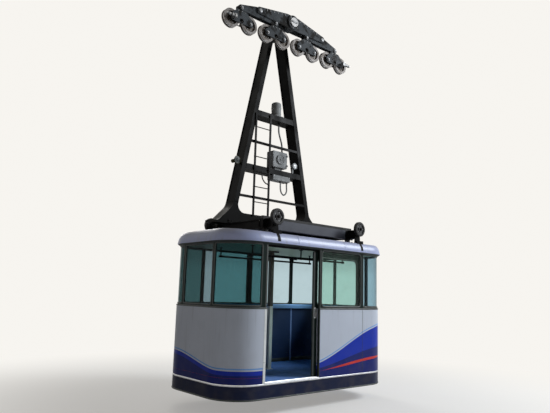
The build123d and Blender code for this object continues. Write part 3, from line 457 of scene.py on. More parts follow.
# %% [markdown]
# ## Glass
# The panes are curved safety glass with a green tint, deepest in the corner windows and darker towards
# their head. A ray that crosses a pane is coloured at both faces, so each face holds the square root of the
# tint. The face is a mix: clear tinted glass straight on, mirror at a glancing angle. The Fresnel node
# would turn the inner side of each pane into a mirror, because nothing bends the ray here. The Layer Weight
# node's Facing is the same from both sides, and its fifth power is the well-known short formula for the
# mirror's share.

# %% Tinted glass
CORNER_PANE_Y = 0.405
HEAD_TINT_FROM_Z, HEAD_TINT_TO_Z = -4.25, -3.85


def one_face(tint):
    """The tint of one of a pane's two faces, which is the square root of the pane's."""
    return tuple(math.sqrt(c) for c in tint)


def tinted_glass(name, tint, head=1.0, deep=None):
    """Window glass whose tint is multiplied by head at the top, and is a deeper one in the corner panes."""
    r = Recipe(name, rough=0.03, sheen=1.0)
    face = one_face(tint)
    if deep:
        in_corner = r.fade(r.away(r.y), CORNER_PANE_Y - SHARP, CORNER_PANE_Y + SHARP)
        face = r.mix(in_corner, face, one_face(deep))
    let_through = r.fade(r.z, HEAD_TINT_FROM_Z, HEAD_TINT_TO_Z, 1.0, math.sqrt(head))
    clear = r.add("ShaderNodeBsdfTransparent")
    r.feed(clear, "Color", r.mix(let_through, (0, 0, 0), face))
    facing = r.add("ShaderNodeLayerWeight", Blend=0.5).outputs["Facing"]
    mirror = r.times(r.math("POWER", facing, 5.0), 0.9)
    smear = r.fade(r.noise(6, 4), 0.45, 0.85, 0.03, 0.06)
    r.show(r.blend(r.plus(mirror, smear), clear.outputs[0], r.shader.outputs[0]))
    return r.done(shade(tint, 0.25))


left_glass = tinted_glass("left_glass", (0.32, 0.38, 0.40), 0.8, deep=(0.10, 0.235, 0.245))
side_glass = tinted_glass("side_glass", (0.85, 0.985, 0.905), 0.9)
far_glass = tinted_glass("far_glass", (0.54, 0.70, 0.77), 0.9)
print("glass tinted")

# %% [markdown]
# ## Painted steel
# The hanger is black gloss paint on welded steel. Weather dulls it in clouds, dust lies on what looks up,
# and the paint is worn to grey primer and a little rust along the edges. The carriage is the same in grey,
# dark with grease, and the boxes and the horn have their own colours.

# %% Painted steel
RUST = (0.13, 0.055, 0.025)
GREASE = (0.012, 0.010, 0.008)


def worn_steel(name, paint, wear, dust=0.20, grease=0.0, edge=0.004):
    """Painted steel: cloudy gloss, worn edges, dust on top and, where there is grease, dark wet patches."""
    r = Recipe(name, sheen=0.035)
    clouds = r.noise(4, 5)
    base = r.mix(r.fade(clouds, 0.35, 0.7), paint, shade(paint, 0.72))
    worn = r.times(r.edges(edge), r.fade(r.noise(38, 5, (1, 1, 3)), 0.42, 0.66))
    rust = r.mix(r.fade(r.noise(24, 4), 0.45, 0.65), wear, RUST)
    base = r.mix(r.times(worn, 0.65), base, rust)
    lying = r.times(r.upward(), r.fade(r.noise(9, 5), 0.35, 0.7, 0.25, 1.0))
    base = r.mix(r.times(lying, dust), base, DUST)
    wet = r.times(r.fade(r.noise(7, 4), 0.48, 0.62), grease)
    base = r.mix(wet, base, GREASE)
    rough = r.plus(r.fade(clouds, 0.3, 0.75, 0.30, 0.52), r.times(lying, dust * 0.6))
    r.bump(r.plus(r.noise(90, 3), r.times(worn, -1.5)), 0.0005, 0.35)
    return r.done(base, r.minus(rough, r.times(wet, 0.25)))


# Black paint of the frame. The beams below take the same black for their ends and top band as painted shade.
BLACK_PAINT_AND_SHADE = (0.008, 0.008, 0.0085)
hanger_black = worn_steel("hanger_black", (0.0042, 0.0042, 0.0040), (0.07, 0.066, 0.06), 0.18)
frame_black = worn_steel("frame_black", BLACK_PAINT_AND_SHADE, (0.08, 0.075, 0.07))
carriage_grey = worn_steel("carriage_grey", (0.075, 0.082, 0.088), (0.22, 0.21, 0.20), 0.25, 0.8)
fitting_grey = worn_steel("fitting_grey", (0.30, 0.31, 0.31), (0.42, 0.42, 0.42), edge=0.003)
horn_olive = worn_steel("horn_olive", (0.052, 0.050, 0.020), (0.14, 0.12, 0.07))
print("painted steels ready")

# %% [markdown]
# ## The beams, grey with painted shade
# The long beams of the support frame are grey. Their ends and a band along their top are painted black:
# the ends as the shade under the guide rollers, the band as the shade of the top flange. A second
# material could be laid on some faces, but a threshold on X and on Z in one material gives a clean edge
# anywhere and leaves the solid as it is.

# %% Beam paint with painted shade
FRAME_GREY = (0.075, 0.080, 0.098)
BEAM_WEAR = (0.15, 0.09, 0.06)
# Beyond this x, and in a band of this height along the top, the beams are painted black as shade.
SHADE_BLACK_FROM_X = 0.87
SHADED_TOP_HEIGHT = 0.045
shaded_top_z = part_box("roof_frame_beam_near")[1].z - SHADED_TOP_HEIGHT

r = Recipe("beam_grey_with_painted_shade", sheen=0.18)
# The black ends and the black top band are painted shade, not the beam's own paint.
ends = r.fade(r.away(r.x), SHADE_BLACK_FROM_X, SHADE_BLACK_FROM_X + 2 * SHARP)
caps = r.fade(r.z, shaded_top_z - SHARP, shaded_top_z + SHARP)
clouds = r.noise(5, 5)
tone = r.mix(r.math("MAXIMUM", ends, caps), FRAME_GREY, BLACK_PAINT_AND_SHADE)
worn = r.times(r.edges(0.004), r.fade(r.noise(38, 5), 0.42, 0.66))
tone = r.mix(r.times(worn, 0.7), tone, BEAM_WEAR)
lying = r.times(r.upward(), r.fade(clouds, 0.3, 0.7))
tone = r.mix(r.times(lying, 0.4), tone, DUST)
r.bump(r.noise(90, 3), 0.0005, 0.3)
beam_grey_with_painted_shade = r.done(tone, r.fade(clouds, 0.3, 0.75, 0.32, 0.55))
print("beams in two tones")

# %% [markdown]
# ## Bare metal
# The sill, track, post and handles are aluminium that hands and shoes have polished. A picture of brushed
# metal would have to be laid along every bar. Noise stretched along one axis gives the same marks with no
# picture.

# %% Aluminium and bright steel
def brushed(name, colour, rough, along, grime=0.25, metal=1.0):
    """Brushed metal: fine streaks along one direction and patches of grime."""
    r = Recipe(name, metal=metal)
    streak = r.noise(220, 3, along)
    spots = r.times(r.fade(r.noise(11, 5), 0.50, 0.75), grime)
    tone = r.mix(streak, shade(colour, 0.86), colour)
    r.bump(streak, 0.0002, 0.3)
    smooth = r.plus(r.fade(streak, 0.3, 0.7, rough - 0.07, rough + 0.07), spots)
    return r.done(r.mix(spots, tone, (0.09, 0.08, 0.07)), smooth)


aluminium = brushed("aluminium", (0.62, 0.63, 0.65), 0.42, (40, 1, 1))
upright_aluminium = brushed("upright_aluminium", (0.74, 0.76, 0.79), 0.40, (1, 1, 40))
bright_steel = brushed("bright_steel", (0.34, 0.34, 0.34), 0.38, (1, 6, 1), 0.60, 0.8)
zinc = brushed("zinc", (0.24, 0.245, 0.25), 0.48, (1, 1, 1), 0.50, 0.6)
print("bare metals ready")

# %% [markdown]
# ## Rollers and guide rollers
# The rope rollers are turned iron, and a guide roller is a dark disc with a black tyre. Both finishes are a
# formula of the distance from the nearest axle: the groove is bright, the rim dull and the web rusty. The
# eight rope rollers are evenly spaced, so a distance that goes to and fro along X serves all of them, and
# the four guide rollers mirror each other.

# %% Roller iron and tyres
ROLLER_PITCH = 0.400
ROLLER_Z = 0.150
RIM_FROM, GROOVE_FROM, GROOVE_TO, GROOVE_HALF = 0.120, 0.128, 0.148, 0.020

r = Recipe("roller_iron", metal=0.5, sheen=0.3)
beside = r.minus(r.math("PINGPONG", r.x, ROLLER_PITCH), ROLLER_PITCH / 2)
radius = r.from_axle(beside, ROLLER_Z)
grime = r.fade(r.noise(16, 5), 0.35, 0.70)
web = r.mix(grime, (0.070, 0.060, 0.050), (0.030, 0.022, 0.016))
rim = r.mix(grime, (0.17, 0.16, 0.155), (0.070, 0.058, 0.048))
tone = r.mix(r.fade(radius, RIM_FROM - 0.002, RIM_FROM + 0.002), web, rim)
near_middle = r.fade(r.away(r.y), GROOVE_HALF + 0.002, GROOVE_HALF - 0.002)
outside = r.fade(radius, GROOVE_FROM - 0.002, GROOVE_FROM + 0.002)
inside = r.fade(radius, GROOVE_TO + 0.002, GROOVE_TO - 0.002)
groove = r.times(near_middle, r.times(outside, inside))
turned_marks = r.math("SINE", r.times(radius, 3000))
r.bump(r.plus(r.times(turned_marks, 0.2), r.noise(70, 3)), 0.0004, 0.4)
roller_iron = r.done(r.mix(groove, tone, (0.62, 0.61, 0.60)), r.fade(groove, 0, 1, 0.50, 0.22))

GUIDE_X, GUIDE_Z = 0.980, -3.355
TYRE_FROM = 0.090
r = Recipe("guide_tyre", sheen=0.2)
radius = r.from_axle(r.away(r.away(r.x), GUIDE_X), GUIDE_Z)
scuff = r.fade(r.noise(22, 5), 0.40, 0.72)
disc = r.mix(scuff, (0.050, 0.050, 0.055), (0.024, 0.022, 0.020))
tyre = r.mix(scuff, (0.010, 0.010, 0.011), (0.030, 0.028, 0.026))
r.bump(r.noise(150, 3), 0.0004, 0.4)
tone = r.mix(r.fade(radius, TYRE_FROM, TYRE_FROM + SHARP), disc, tyre)
guide_tyre = r.done(tone, r.fade(scuff, 0, 1, 0.42, 0.65))
print("roller finishes ready")

# %% [markdown]
# ## Rubber, floor and cabin lining
# Mounts, seals and cable sheaths are the same black rubber with a grey bloom. Inside, the floor is blue,
# scuffed most at the door. The lining and the ledge under the windows are one blue laminate, painted twice:
# the lining a dark navy as painted shade, the ledge a bright blue as painted light on its top. One
# function makes every laminate, because they differ in colour and gloss only.

# %% Rubber and laminates
def rubber(name, colour=(0.014, 0.014, 0.015), bloom=(0.055, 0.055, 0.055)):
    """Black rubber with patches of a paler, duller bloom."""
    r = Recipe(name)
    patches = r.fade(r.noise(13, 5), 0.40, 0.75)
    r.bump(r.noise(320, 2), 0.0003, 0.4)
    return r.done(r.mix(patches, colour, bloom), r.fade(patches, 0, 1, 0.48, 0.72))


def laminate(name, colour, rough):
    """Smooth sheet with a faint grain, wiped patches and scuffs near the floor."""
    r = Recipe(name)
    wiped = r.fade(r.noise(2.5, 4), 0.35, 0.75)
    low_down = r.fade(r.z, -5.2, -5.82, 0.1, 0.5)
    scuffs = r.times(r.fade(r.noise(17, 5, (3, 3, 0.6)), 0.60, 0.72), low_down)
    tone = r.mix(wiped, colour, shade(colour, 1.25))
    r.bump(r.noise(260, 2), 0.0003, 0.3)
    return r.done(r.mix(scuffs, tone, (0.12, 0.13, 0.15)), r.fade(wiped, 0, 1, rough, rough + 0.15))


seal_rubber = rubber("seal_rubber", (0.010, 0.016, 0.015), (0.030, 0.038, 0.036))
mount_rubber = rubber("mount_rubber")
cable_sheath = rubber("cable_sheath")
# Dark navy: the blue laminate with painted shade. Bright blue: the same laminate with painted light.
lining_blue_painted_shade = laminate("lining_blue_painted_shade", (0.012, 0.030, 0.085), 0.38)
ledge_blue_painted_light = laminate("ledge_blue_painted_light", (0.36, 0.60, 0.98), 0.32)
pale_edge = laminate("pale_edge", (0.70, 0.72, 0.71), 0.35)
blue_strip = laminate("blue_strip", (0.22, 0.30, 0.54), 0.35)
print("rubber and laminates ready")

# %% [markdown]
# ## Floor covering, lens and post
# Three finishes are used once. The floor is worn most near the door side, the lamp's lens is moulded in
# fine rings, and the centre post is pale up to the belt and painted dark above it as its shade against the
# bright windows, with grey marks where hands hold it.

# %% Floor, lens and post paint
RING_RATE = 900

r = Recipe("floor_covering")
worn = r.times(r.fade(r.noise(3.5, 5), 0.38, 0.72), r.fade(r.y, 0.8, -0.8, 0.35, 0.9))
r.bump(r.noise(200, 2), 0.0005, 0.4)
tone = r.mix(worn, (0.032, 0.150, 0.490), (0.066, 0.145, 0.340))
floor_covering = r.done(tone, r.fade(worn, 0, 1, 0.50, 0.72))

r = Recipe("pale_lens", rough=0.12)
rings = r.math("SINE", r.times(r.z, RING_RATE))
r.bump(rings, 0.0006, 0.5)
pale_lens = r.done(r.mix(r.fade(rings, -1, 1), (0.62, 0.65, 0.66), (0.74, 0.76, 0.76)))

r = Recipe("post_paint_and_shade")
# Above the belt the post is painted dark brown: its shade against the bright windows.
upper = r.fade(r.z, BELT_Z - 2 * SHARP, BELT_Z + 2 * SHARP)
tone = r.mix(upper, (0.82, 0.82, 0.76), (0.045, 0.032, 0.024))
handled = r.fade(r.noise(12, 4, (1, 1, 3)), 0.42, 0.75)
r.bump(r.noise(180, 2), 0.0003, 0.3)
tone = r.mix(r.times(handled, 0.3), tone, (0.18, 0.17, 0.16))
post_paint_and_shade = r.done(tone, r.fade(handled, 0, 1, 0.30, 0.5))
print("materials:", len(bpy.data.materials))

# %% [markdown]
# ## Dress the construction
# Each node of the construction names a slot in its record, and one table says which finish a slot gets. A
# few nodes differ from the rest of their slot, such as the corner glass, the horn and the lamp, so a second
# table is looked at first.

# %% Finishes on the frame
slot_finish = {
    "body_paint": wall_paint,
    "roof_paint": roof_paint,
    "window_glass": side_glass,
    "ceiling_panel": ceiling_laminate,
    "floor_covering": floor_covering,
    "lining_panel": lining_blue_painted_shade,
    "ledge_trim": ledge_blue_painted_light,
    "bare_aluminium": upright_aluminium,
    "hanger_paint": hanger_black,
    "frame_paint": frame_black,
    "carriage_paint": carriage_grey,
    "fitting_grey": fitting_grey,
    "mount_rubber": mount_rubber,
    "guide_tyre": guide_tyre,
    "roller_steel": roller_iron,
    "bright_steel": bright_steel,
    "cable_sheath": cable_sheath,
}
node_finish = {
    "door_leaf": leaf_paint,
    "door_sill": aluminium,
    "door_track": frame_black,
    "grab_rails": frame_black,
    "centre_post": post_paint_and_shade,
    "glass_left_end": left_glass,
    "glass_right_end": far_glass,
    "glass_far_side": far_glass,
    "hanger_horn": horn_olive,
    "hanger_lamp": fitting_grey,
    "hanger_cable": fitting_grey,
    "roof_frame_beam_near": beam_grey_with_painted_shade,
    "roof_frame_beam_far": beam_grey_with_painted_shade,
}
slot_of = {part["node"]: part["material_slot"] for part in frame["record"]["subparts"]}
for name, node in frame["nodes"].items():
    node.data.materials.clear()
    node.data.materials.append(node_finish.get(name, slot_finish[slot_of[name]]))
print("dressed", len(frame["nodes"]), "nodes")

# %% [markdown]
# ## Shapes from arrays
# All the small pieces below are surfaces worked out with numpy. A shape is a grid of points, rows by
# columns, and neighbouring points make the quads. It could be built from cubes and cylinders and cut, but a
# grid gives each point its formula. Every piece rides on the body that it belongs to, so it moves with
# that.

# %% Grids and meshes
def grid_faces(rows, columns, closed=False):
    """Quads of a grid: corner (i, j) has the number i * columns + j.

    Each row is a ring, so its last point meets the first. With closed the last row meets the first row too.
    """
    i = np.arange(rows if closed else rows - 1)[:, None]
    j = np.arange(columns)[None, :]
    after_i, after_j = (i + 1) % rows, (j + 1) % columns
    quads = [i * columns + j, i * columns + after_j, after_i * columns + after_j, after_i * columns + j]
    return np.stack(quads, -1).reshape(-1, 4).tolist()


def piece(name, points, faces, material, body, slot, smooth=40):
    """A mesh of computed points and faces that rides on a body, with its normals pointing outwards."""
    mesh = bpy.data.meshes.new(name)
    mesh.from_pydata(np.asarray(points).reshape(-1, 3).tolist(), [], faces)
    shell = bmesh.new()
    shell.from_mesh(mesh)
    bmesh.ops.remove_doubles(shell, verts=shell.verts, dist=1e-6)
    bmesh.ops.recalc_face_normals(shell, faces=shell.faces)
    shell.to_mesh(mesh)
    shell.free()
    mesh.materials.append(material)
    made = bpy.data.objects.new(name, mesh)
    scene.collection.objects.link(made)
    mesh.shade_smooth()
    mesh.set_sharp_from_angle(angle=math.radians(smooth))
    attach(made, body)
    return made


def joined(parts):
    """Several (points, faces) pairs as one. The faces' numbers move past the points before them."""
    points, faces, count = [], [], 0
    for part_points, part_faces in parts:
        points.append(part_points)
        faces += [[number + count for number in face] for face in part_faces]
        count += len(part_points)
    return np.concatenate(points), faces


print("meshes can be made")

# %% [markdown]
# ## Three ways to fill a grid
# A bead carries a profile along stations, a turned piece revolves a profile, and a plate is an outline with
# a thickness. Nearly every moulding, bolt and bracket is one of the three.

# %% Beads and turned pieces
def bead(stations, closed=False):
    """Points and faces of a profile carried along a path. Stations is rows by profile points by 3.

    An open path gets a cap at each end.
    """
    rows, columns = stations.shape[:2]
    faces = grid_faces(rows, columns, closed)
    if not closed:
        faces += [list(range(columns)), list(range((rows - 1) * columns, rows * columns))]
    return stations.reshape(-1, 3), faces


def on_circle(count, radius, start=0.0, radius_up=None):
    """Places evenly round a circle: radius * (cos, sin). With a second radius it is an ellipse."""
    angle = start + np.arange(count) * 2 * math.pi / count
    return np.stack([radius * np.cos(angle), (radius_up or radius) * np.sin(angle)], -1)


def basis(axis):
    """Three unit vectors at right angles, the last along the axis."""
    axis = np.asarray(axis, float) / np.linalg.norm(axis)
    aside = np.cross(axis, (0, 0, 1) if abs(axis[2]) < 0.9 else (1, 0, 0))
    aside /= np.linalg.norm(aside)
    return aside, np.cross(axis, aside), axis


def turned(profile, place, axis, around=24):
    """Revolves (distance along the axis, radius) points: place + distance * axis + radius * (cos, sin)."""
    along, radius = np.array(profile, float).T
    aside, across, axis = basis(axis)
    spokes = on_circle(around, 1.0) @ np.stack([aside, across])
    points = np.asarray(place) + along[:, None, None] * axis + radius[:, None, None] * spokes
    return points.reshape(-1, 3), grid_faces(len(profile), around)


print("beads and turned pieces ready")

# %% [markdown]
# ## Plates and bars
# A bracket or a strip is sheet metal: one outline and one thickness. A cube stretched to size would have
# razor edges, so the section of a bar has its corners cut, and the light finds them. Each plate sits a
# little deep in what carries it, so that no gap shows.

# %% Plates and bars
BITE = 0.001


def placed(points, plane, third):
    """Rows of two coordinates in a plane, such as xz, as places in space with a third coordinate."""
    missing = 3 - "xyz".index(plane[0]) - "xyz".index(plane[1])
    return np.insert(np.asarray(points, float), missing, third, axis=1)


def slab(corners, plane, *ends):
    """A flat plate: an outline in a plane, with a thickness between two ends on the third axis."""
    return bead(np.stack([placed(corners, plane, end) for end in sorted(ends)]))


def strip_box(low, high, radius=0.002):
    """A bar between two corners: a rectangle with its own corners cut, carried along the longest side."""
    long_axis = int(np.argmax(np.subtract(high, low)))
    (u0, v0), (u1, v1) = np.delete(low, long_axis), np.delete(high, long_axis)
    r = min(radius, (u1 - u0) / 3, (v1 - v0) / 3)
    lower_half = [(u0 + r, v0), (u1 - r, v0), (u1, v0 + r), (u1, v1 - r)]
    upper_half = [(u1 - r, v1), (u0 + r, v1), (u0, v1 - r), (u0, v0 + r)]
    return slab(lower_half + upper_half, ("yz", "xz", "xy")[long_axis], low[long_axis], high[long_axis])


def signs(*sizes):
    """Every combination of plus and minus of the given numbers, as rows."""
    return np.array(np.meshgrid(*[(-s, s) for s in sizes])).reshape(len(sizes), -1).T


print("plates sit", BITE * 1000, "mm deep in what carries them")

# %% [markdown]
# ## Points on the wall
# The wall follows a rounded rectangle in plan. For a distance t round it, the middle of the corner circle
# and the direction outwards both change in straight steps, so three interpolations give the place for a
# whole array of distances at once. A seal or a rivet row is then laid out flat, as distance and height, and
# lands on the curved wall by itself.

# %% The wall's outline
wall_low, wall_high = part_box("wall_left_end")
HALF_LENGTH = -wall_low.x
HALF_WIDTH = wall_high.y
CORNER = 0.520
EAVE_Z = wall_high.z
SKIRT_Z = wall_low.z
FLOOR_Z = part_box("floor")[1].z
WINDOW_INSET = 0.012
WALL_THICKNESS = 0.040


def outline(t, half_a=HALF_LENGTH, half_b=HALF_WIDTH, radius=CORNER):
    """Place and outward direction at distance t round a rounded rectangle, from its low side's middle."""
    a, b, q = half_a - radius, half_b - radius, math.pi / 2 * radius
    marks = np.cumsum([0, a, q, 2 * b, q, 2 * a, q, 2 * b, q, a])
    t = np.mod(t, marks[-1])
    angle = np.interp(t, marks, np.radians([-90, -90, 0, 0, 90, 90, 180, 180, 270, 270]))
    middle_a = np.interp(t, marks, [0, a, a, a, a, -a, -a, -a, -a, 0])
    middle_b = np.interp(t, marks, [-b, -b, -b, b, b, b, b, -b, -b, -b])
    out = np.stack([np.cos(angle), np.sin(angle)], -1)
    return np.stack([middle_a, middle_b], -1) + radius * out, out


def on_wall(t, z, out):
    """Points of the wall at distance t, height z and so far outside its lower panels."""
    t, z, out = np.broadcast_arrays(t, z, out)
    place, direction = outline(t)
    flat = place + direction * out[..., None]
    return np.concatenate([flat, z[..., None]], -1)


print("wall outline:", round(2 * HALF_LENGTH, 3), "x", round(2 * HALF_WIDTH, 3), "m")

# %% [markdown]
# ## One number for a place on the wall
# A place on a straight side is easier to give by its own x or y than by a distance. Four short functions
# turn it into the distance round the wall, which starts in the middle of the door side and goes over the
# right end, the far side and the left end.

# %% Distances round the wall
STRAIGHT, END, BEND = HALF_LENGTH - CORNER, HALF_WIDTH - CORNER, math.pi / 2 * CORNER
ROUND = 4 * (STRAIGHT + END + BEND)


def near(x):
    """Distance of a place x on the door side, where the count starts at x = 0."""
    return x


def right_end(y):
    """Distance of a place y on the right end."""
    return STRAIGHT + BEND + END + y


def far(x):
    """Distance of a place x on the far side, which is run through backwards."""
    return ROUND / 2 - x


def left_end(y):
    """Distance of a place y on the left end."""
    return ROUND - STRAIGHT - BEND - END - y


print("round the wall:", round(ROUND, 3), "m")

# %% [markdown]
# ## Window seals
# Every pane sits in a black rubber profile that grips the sheet metal and the glass. It is a bead that
# follows a rounded rectangle in the flat plan of distance and height. The profile has a lip on the glass, a
# full round back and a lip on the frame.

# %% Loops and seals
def loop(first, last, low, high, radius, straight_step=0.04, bend_points=6):
    """A rounded rectangle as a closed loop: points and outward directions, closer together in the bends."""
    half_a, half_b = (last - first) / 2, (high - low) / 2
    lengths = [half_a - radius, math.pi / 2 * radius, 2 * (half_b - radius), math.pi / 2 * radius]
    lengths += [2 * (half_a - radius)] + lengths[1:4] + [lengths[0]]
    marks = np.cumsum([0] + lengths)
    counts = [max(1, int(length / straight_step)) for length in lengths]
    counts[1::2] = [bend_points] * 4
    steps = [np.linspace(a, b, n, endpoint=False) for a, b, n in zip(marks, marks[1:], counts)]
    place, out = outline(np.concatenate(steps), half_a, half_b, radius)
    return place + ((first + last) / 2, (low + high) / 2), out


def seal(surface, loop_points, profile):
    """A bead round a loop. A profile point goes so far past the loop, in its plane, and so far out of it."""
    place, direction = loop_points
    past, out = np.array(profile, float).T
    flat = place[:, None, :] + past[None, :, None] * direction[:, None, :]
    return bead(surface(flat[..., 0], flat[..., 1], np.broadcast_to(out, flat.shape[:2])), closed=True)


print("seals follow any loop")

# %% [markdown]
# ## One table of windows
# The nine panes differ only in their ends and in the radius of their corners. So a table lists them, and
# one loop seals them all, outside and inside.

# %% Rubber round the windows
WINDOW_LOW, WINDOW_HIGH = (corner.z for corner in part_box("glass_near_side"))
SMALL_R, LARGE_R = 0.028, 0.070

# Columns: first and last distance round the wall, corner radius.
windows = [
    (near(0.010), near(1.000), LARGE_R),
    (near(1.060), right_end(-0.430), SMALL_R),
    (right_end(-0.380), right_end(0.380), SMALL_R),
    (right_end(0.430), far(1.060), SMALL_R),
    (far(1.000), far(0.010), LARGE_R),
    (far(-0.100), far(-1.067), SMALL_R),
    (far(-1.115), left_end(0.430), SMALL_R),
    (left_end(0.380), left_end(-0.380), SMALL_R),
    (left_end(-0.430), near(-1.270) + ROUND, SMALL_R),
]

# Columns of both profiles: past the window's edge, out of the lower panels' face.
outer_lip = [(-0.011, -0.0158), (-0.010, -0.0110), (-0.004, -0.0065)]
outer_back = [(0.004, -0.0055), (0.011, -0.0085), (0.012, -0.0119)]
inner_profile = [(-0.009, -0.0242), (-0.008, -0.0300), (0.000, -0.0420), (0.009, -0.0440), (0.011, -0.0401)]
for name, profile in (("window_seals", outer_lip + outer_back), ("inner_window_seals", inner_profile)):
    seals = [seal(on_wall, loop(a, b, WINDOW_LOW, WINDOW_HIGH, r), profile) for a, b, r in windows]
    piece(name, *joined(seals), seal_rubber, "cabin", "mount_rubber")
print("sealed", len(windows), "windows")

# %% [markdown]
# ## The door leaf
# The leaf has its own rubber round the glass, a soft black nose that meets the doorpost, a sunk grip with
# an aluminium rim and a brush along its foot. All of them ride on the door, so they slide with it.

# %% Rubber of the leaf
leaf_low, leaf_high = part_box("door_leaf")
LEAF_Y = (leaf_low.y + leaf_high.y) / 2
LEAF_HALF = (leaf_high.y - leaf_low.y) / 2
LEAF_WINDOW_R = 0.090
NOSE_HEIGHT = 1.965


def leaf_face(side):
    """The surface of the leaf that looks out, for side -1, or into the cabin, for side 1."""
    def surface(x, z, out):
        """Points at x and z, and so far out of that face."""
        return np.stack([x, np.full_like(x, LEAF_Y) + side * (LEAF_HALF + out), z], -1)
    return surface


leaf_window = loop(glass_low.x, glass_high.x, glass_low.z, glass_high.z, LEAF_WINDOW_R)
glass_lip = [(-0.012, -0.0108), (-0.011, -0.004), (-0.004, 0.0025)]
frame_lip = [(0.005, 0.003), (0.011, 0.0005), (0.011, -0.002)]
leaf_seals = [seal(leaf_face(side), leaf_window, glass_lip + frame_lip) for side in (-1, 1)]

# Half of the nose's section. Columns: behind the edge of the leaf, across the leaf.
half_nose = np.array([(0.030, -0.0165), (0.004, -0.0185), (-0.001, -0.015), (-0.0045, -0.005)])
nose = np.concatenate([half_nose, half_nose[::-1] * (1, -1)]) + (leaf_low.x, LEAF_Y)
leaf_nose = slab(nose, "xy", leaf_low.z + 0.004, leaf_low.z + NOSE_HEIGHT)
piece("leaf_rubber", *joined(leaf_seals + [leaf_nose]), seal_rubber, "door", "mount_rubber")
print("leaf rubber fitted")

# %% [markdown]
# ## The grip
# The leaf is pulled by a pocket sunk into its face. The pocket's rim is the same kind of bead as a window's
# seal, with a smaller profile and on the outer face alone.

# %% Grip of the leaf
GRIP_X, GRIP_Z, GRIP_WIDTH, GRIP_HEIGHT, GRIP_R = -0.095, -4.820, 0.036, 0.150, 0.012
aside, up = GRIP_WIDTH / 2, GRIP_HEIGHT / 2
grip = loop(GRIP_X - aside, GRIP_X + aside, GRIP_Z - up, GRIP_Z + up, GRIP_R)
rim_profile = [(-0.001, -0.004), (-0.001, 0.0015), (0.003, 0.0030), (0.008, 0.0015), (0.009, -0.0005)]
piece("leaf_grip_rim", *seal(leaf_face(-1), grip, rim_profile), upright_aluminium, "door", "bare_aluminium")
print("grip rimmed")

# %% [markdown]
# ## Mouldings round the cabin
# A dark moulding covers the step at the window belt, a dark rubber strip fills the corner under the roof's
# edge and also stands for the shadow line that the roof's edge casts there, and an aluminium rub rail runs
# at floor level. Each is one profile carried along the wall, and the doorway interrupts the two lower ones.

# %% Belt, eave strip with painted shadow, and rub rail
DOOR_LEFT, DOOR_RIGHT = (corner.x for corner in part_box("door_sill"))
MOULDING_STEP = 0.05


def moulding(first, last, level, profile, closed=False):
    """A profile carried along the wall. Its columns are up from the level, out of the lower panels' face."""
    t = np.linspace(first, last, int((last - first) / MOULDING_STEP) + 2)
    t = t[:-1] if closed else t
    up, out = np.array(profile, float).T
    return bead(on_wall(t[:, None], level + up, out), closed)


past_doorway = (near(DOOR_RIGHT) + BITE, near(DOOR_LEFT) + ROUND - BITE)
belt_front = [(-0.014, 0.0002), (-0.013, 0.0040), (-0.008, 0.0056), (0, 0.0056), (0.008, 0.002)]
belt_back = [(0.0115, -0.0118), (0, -0.0118), (-0.002, 0.0002)]
belt = moulding(*past_doorway, BELT_Z, belt_front + belt_back)
piece("belt_moulding", *belt, seal_rubber, "cabin", "mount_rubber")

# The strip under the roof's edge is dark rubber and also a painted shadow line of the eave.
eave_strip_and_shadow_profile = [(-0.001, 0.030), (-0.012, 0.022), (-0.022, 0.004), (-0.026, -0.0115), (-0.001, -0.0115)]
gutter = moulding(0, ROUND, EAVE_Z, eave_strip_and_shadow_profile, closed=True)
piece("eave_strip_and_shadow", *gutter, seal_rubber, "cabin", "mount_rubber")

rub_profile = [(0.028, 0.0002), (0.026, 0.006), (0.021, 0.0085), (0.007, 0.0085), (0.002, 0.006), (0, 0.0002)]
rub_rail = moulding(*past_doorway, FLOOR_LINE_Z, rub_profile)
under_the_door = moulding(near(DOOR_LEFT), near(DOOR_RIGHT), FLOOR_LINE_Z - BITE, rub_profile)
piece("rub_rail", *joined([rub_rail, under_the_door]), aluminium, "cabin", "bare_aluminium")
print("mouldings carried round the wall")

# %% [markdown]
# ## Doorway frame
# The opening is edged with a pale anodised angle on its left, below the belt, and with dark rubber ones
# elsewhere. They are flat strips with rounded arrises, bent over the wall's cut edge, and a dark head strip
# joins them. The wall above the belt lies a little further in, so the strips there are set back with it.

# %% Doorposts and head
JAMB = 0.044
PROUD, SUNK, EDGE_THICK = 0.003, 0.0005, 0.003
HEAD_Z = -3.800
wall_face, window_face = -HALF_WIDTH, -HALF_WIDTH + WINDOW_INSET
inner_face = -HALF_WIDTH + WALL_THICKNESS
reveal_low, reveal_high = FLOOR_Z + 0.009, HEAD_Z - 0.003
face_low, face_high = BELT_Z + BITE, HEAD_Z + 0.012

# Columns of both tables: x from and to, y from and to, z from and to.
pale_strips = [
    (DOOR_LEFT - JAMB, DOOR_LEFT, wall_face - 0.004, wall_face + SUNK, FLOOR_Z - BITE, BELT_Z - 0.002),
    (DOOR_LEFT, DOOR_LEFT + EDGE_THICK, wall_face - PROUD, inner_face, reveal_low, BELT_Z),
]
dark_strips = [
    (DOOR_RIGHT, DOOR_RIGHT + 0.012, wall_face - PROUD, wall_face + SUNK, FLOOR_Z - BITE, BELT_Z - 0.016),
    (DOOR_RIGHT - EDGE_THICK, DOOR_RIGHT, wall_face - PROUD, inner_face, reveal_low, reveal_high),
    (DOOR_LEFT - 0.030, DOOR_LEFT, window_face - 0.004, window_face + SUNK, face_low, face_high),
    (DOOR_LEFT, DOOR_LEFT + EDGE_THICK, window_face - PROUD, inner_face, BELT_Z, reveal_high),
    (DOOR_RIGHT, DOOR_RIGHT + 0.026, window_face - 0.004, window_face + SUNK, face_low, face_high),
    (DOOR_LEFT, DOOR_RIGHT, window_face - 0.004, inner_face - 0.012, HEAD_Z - 0.002, HEAD_Z - 0.0003),
]


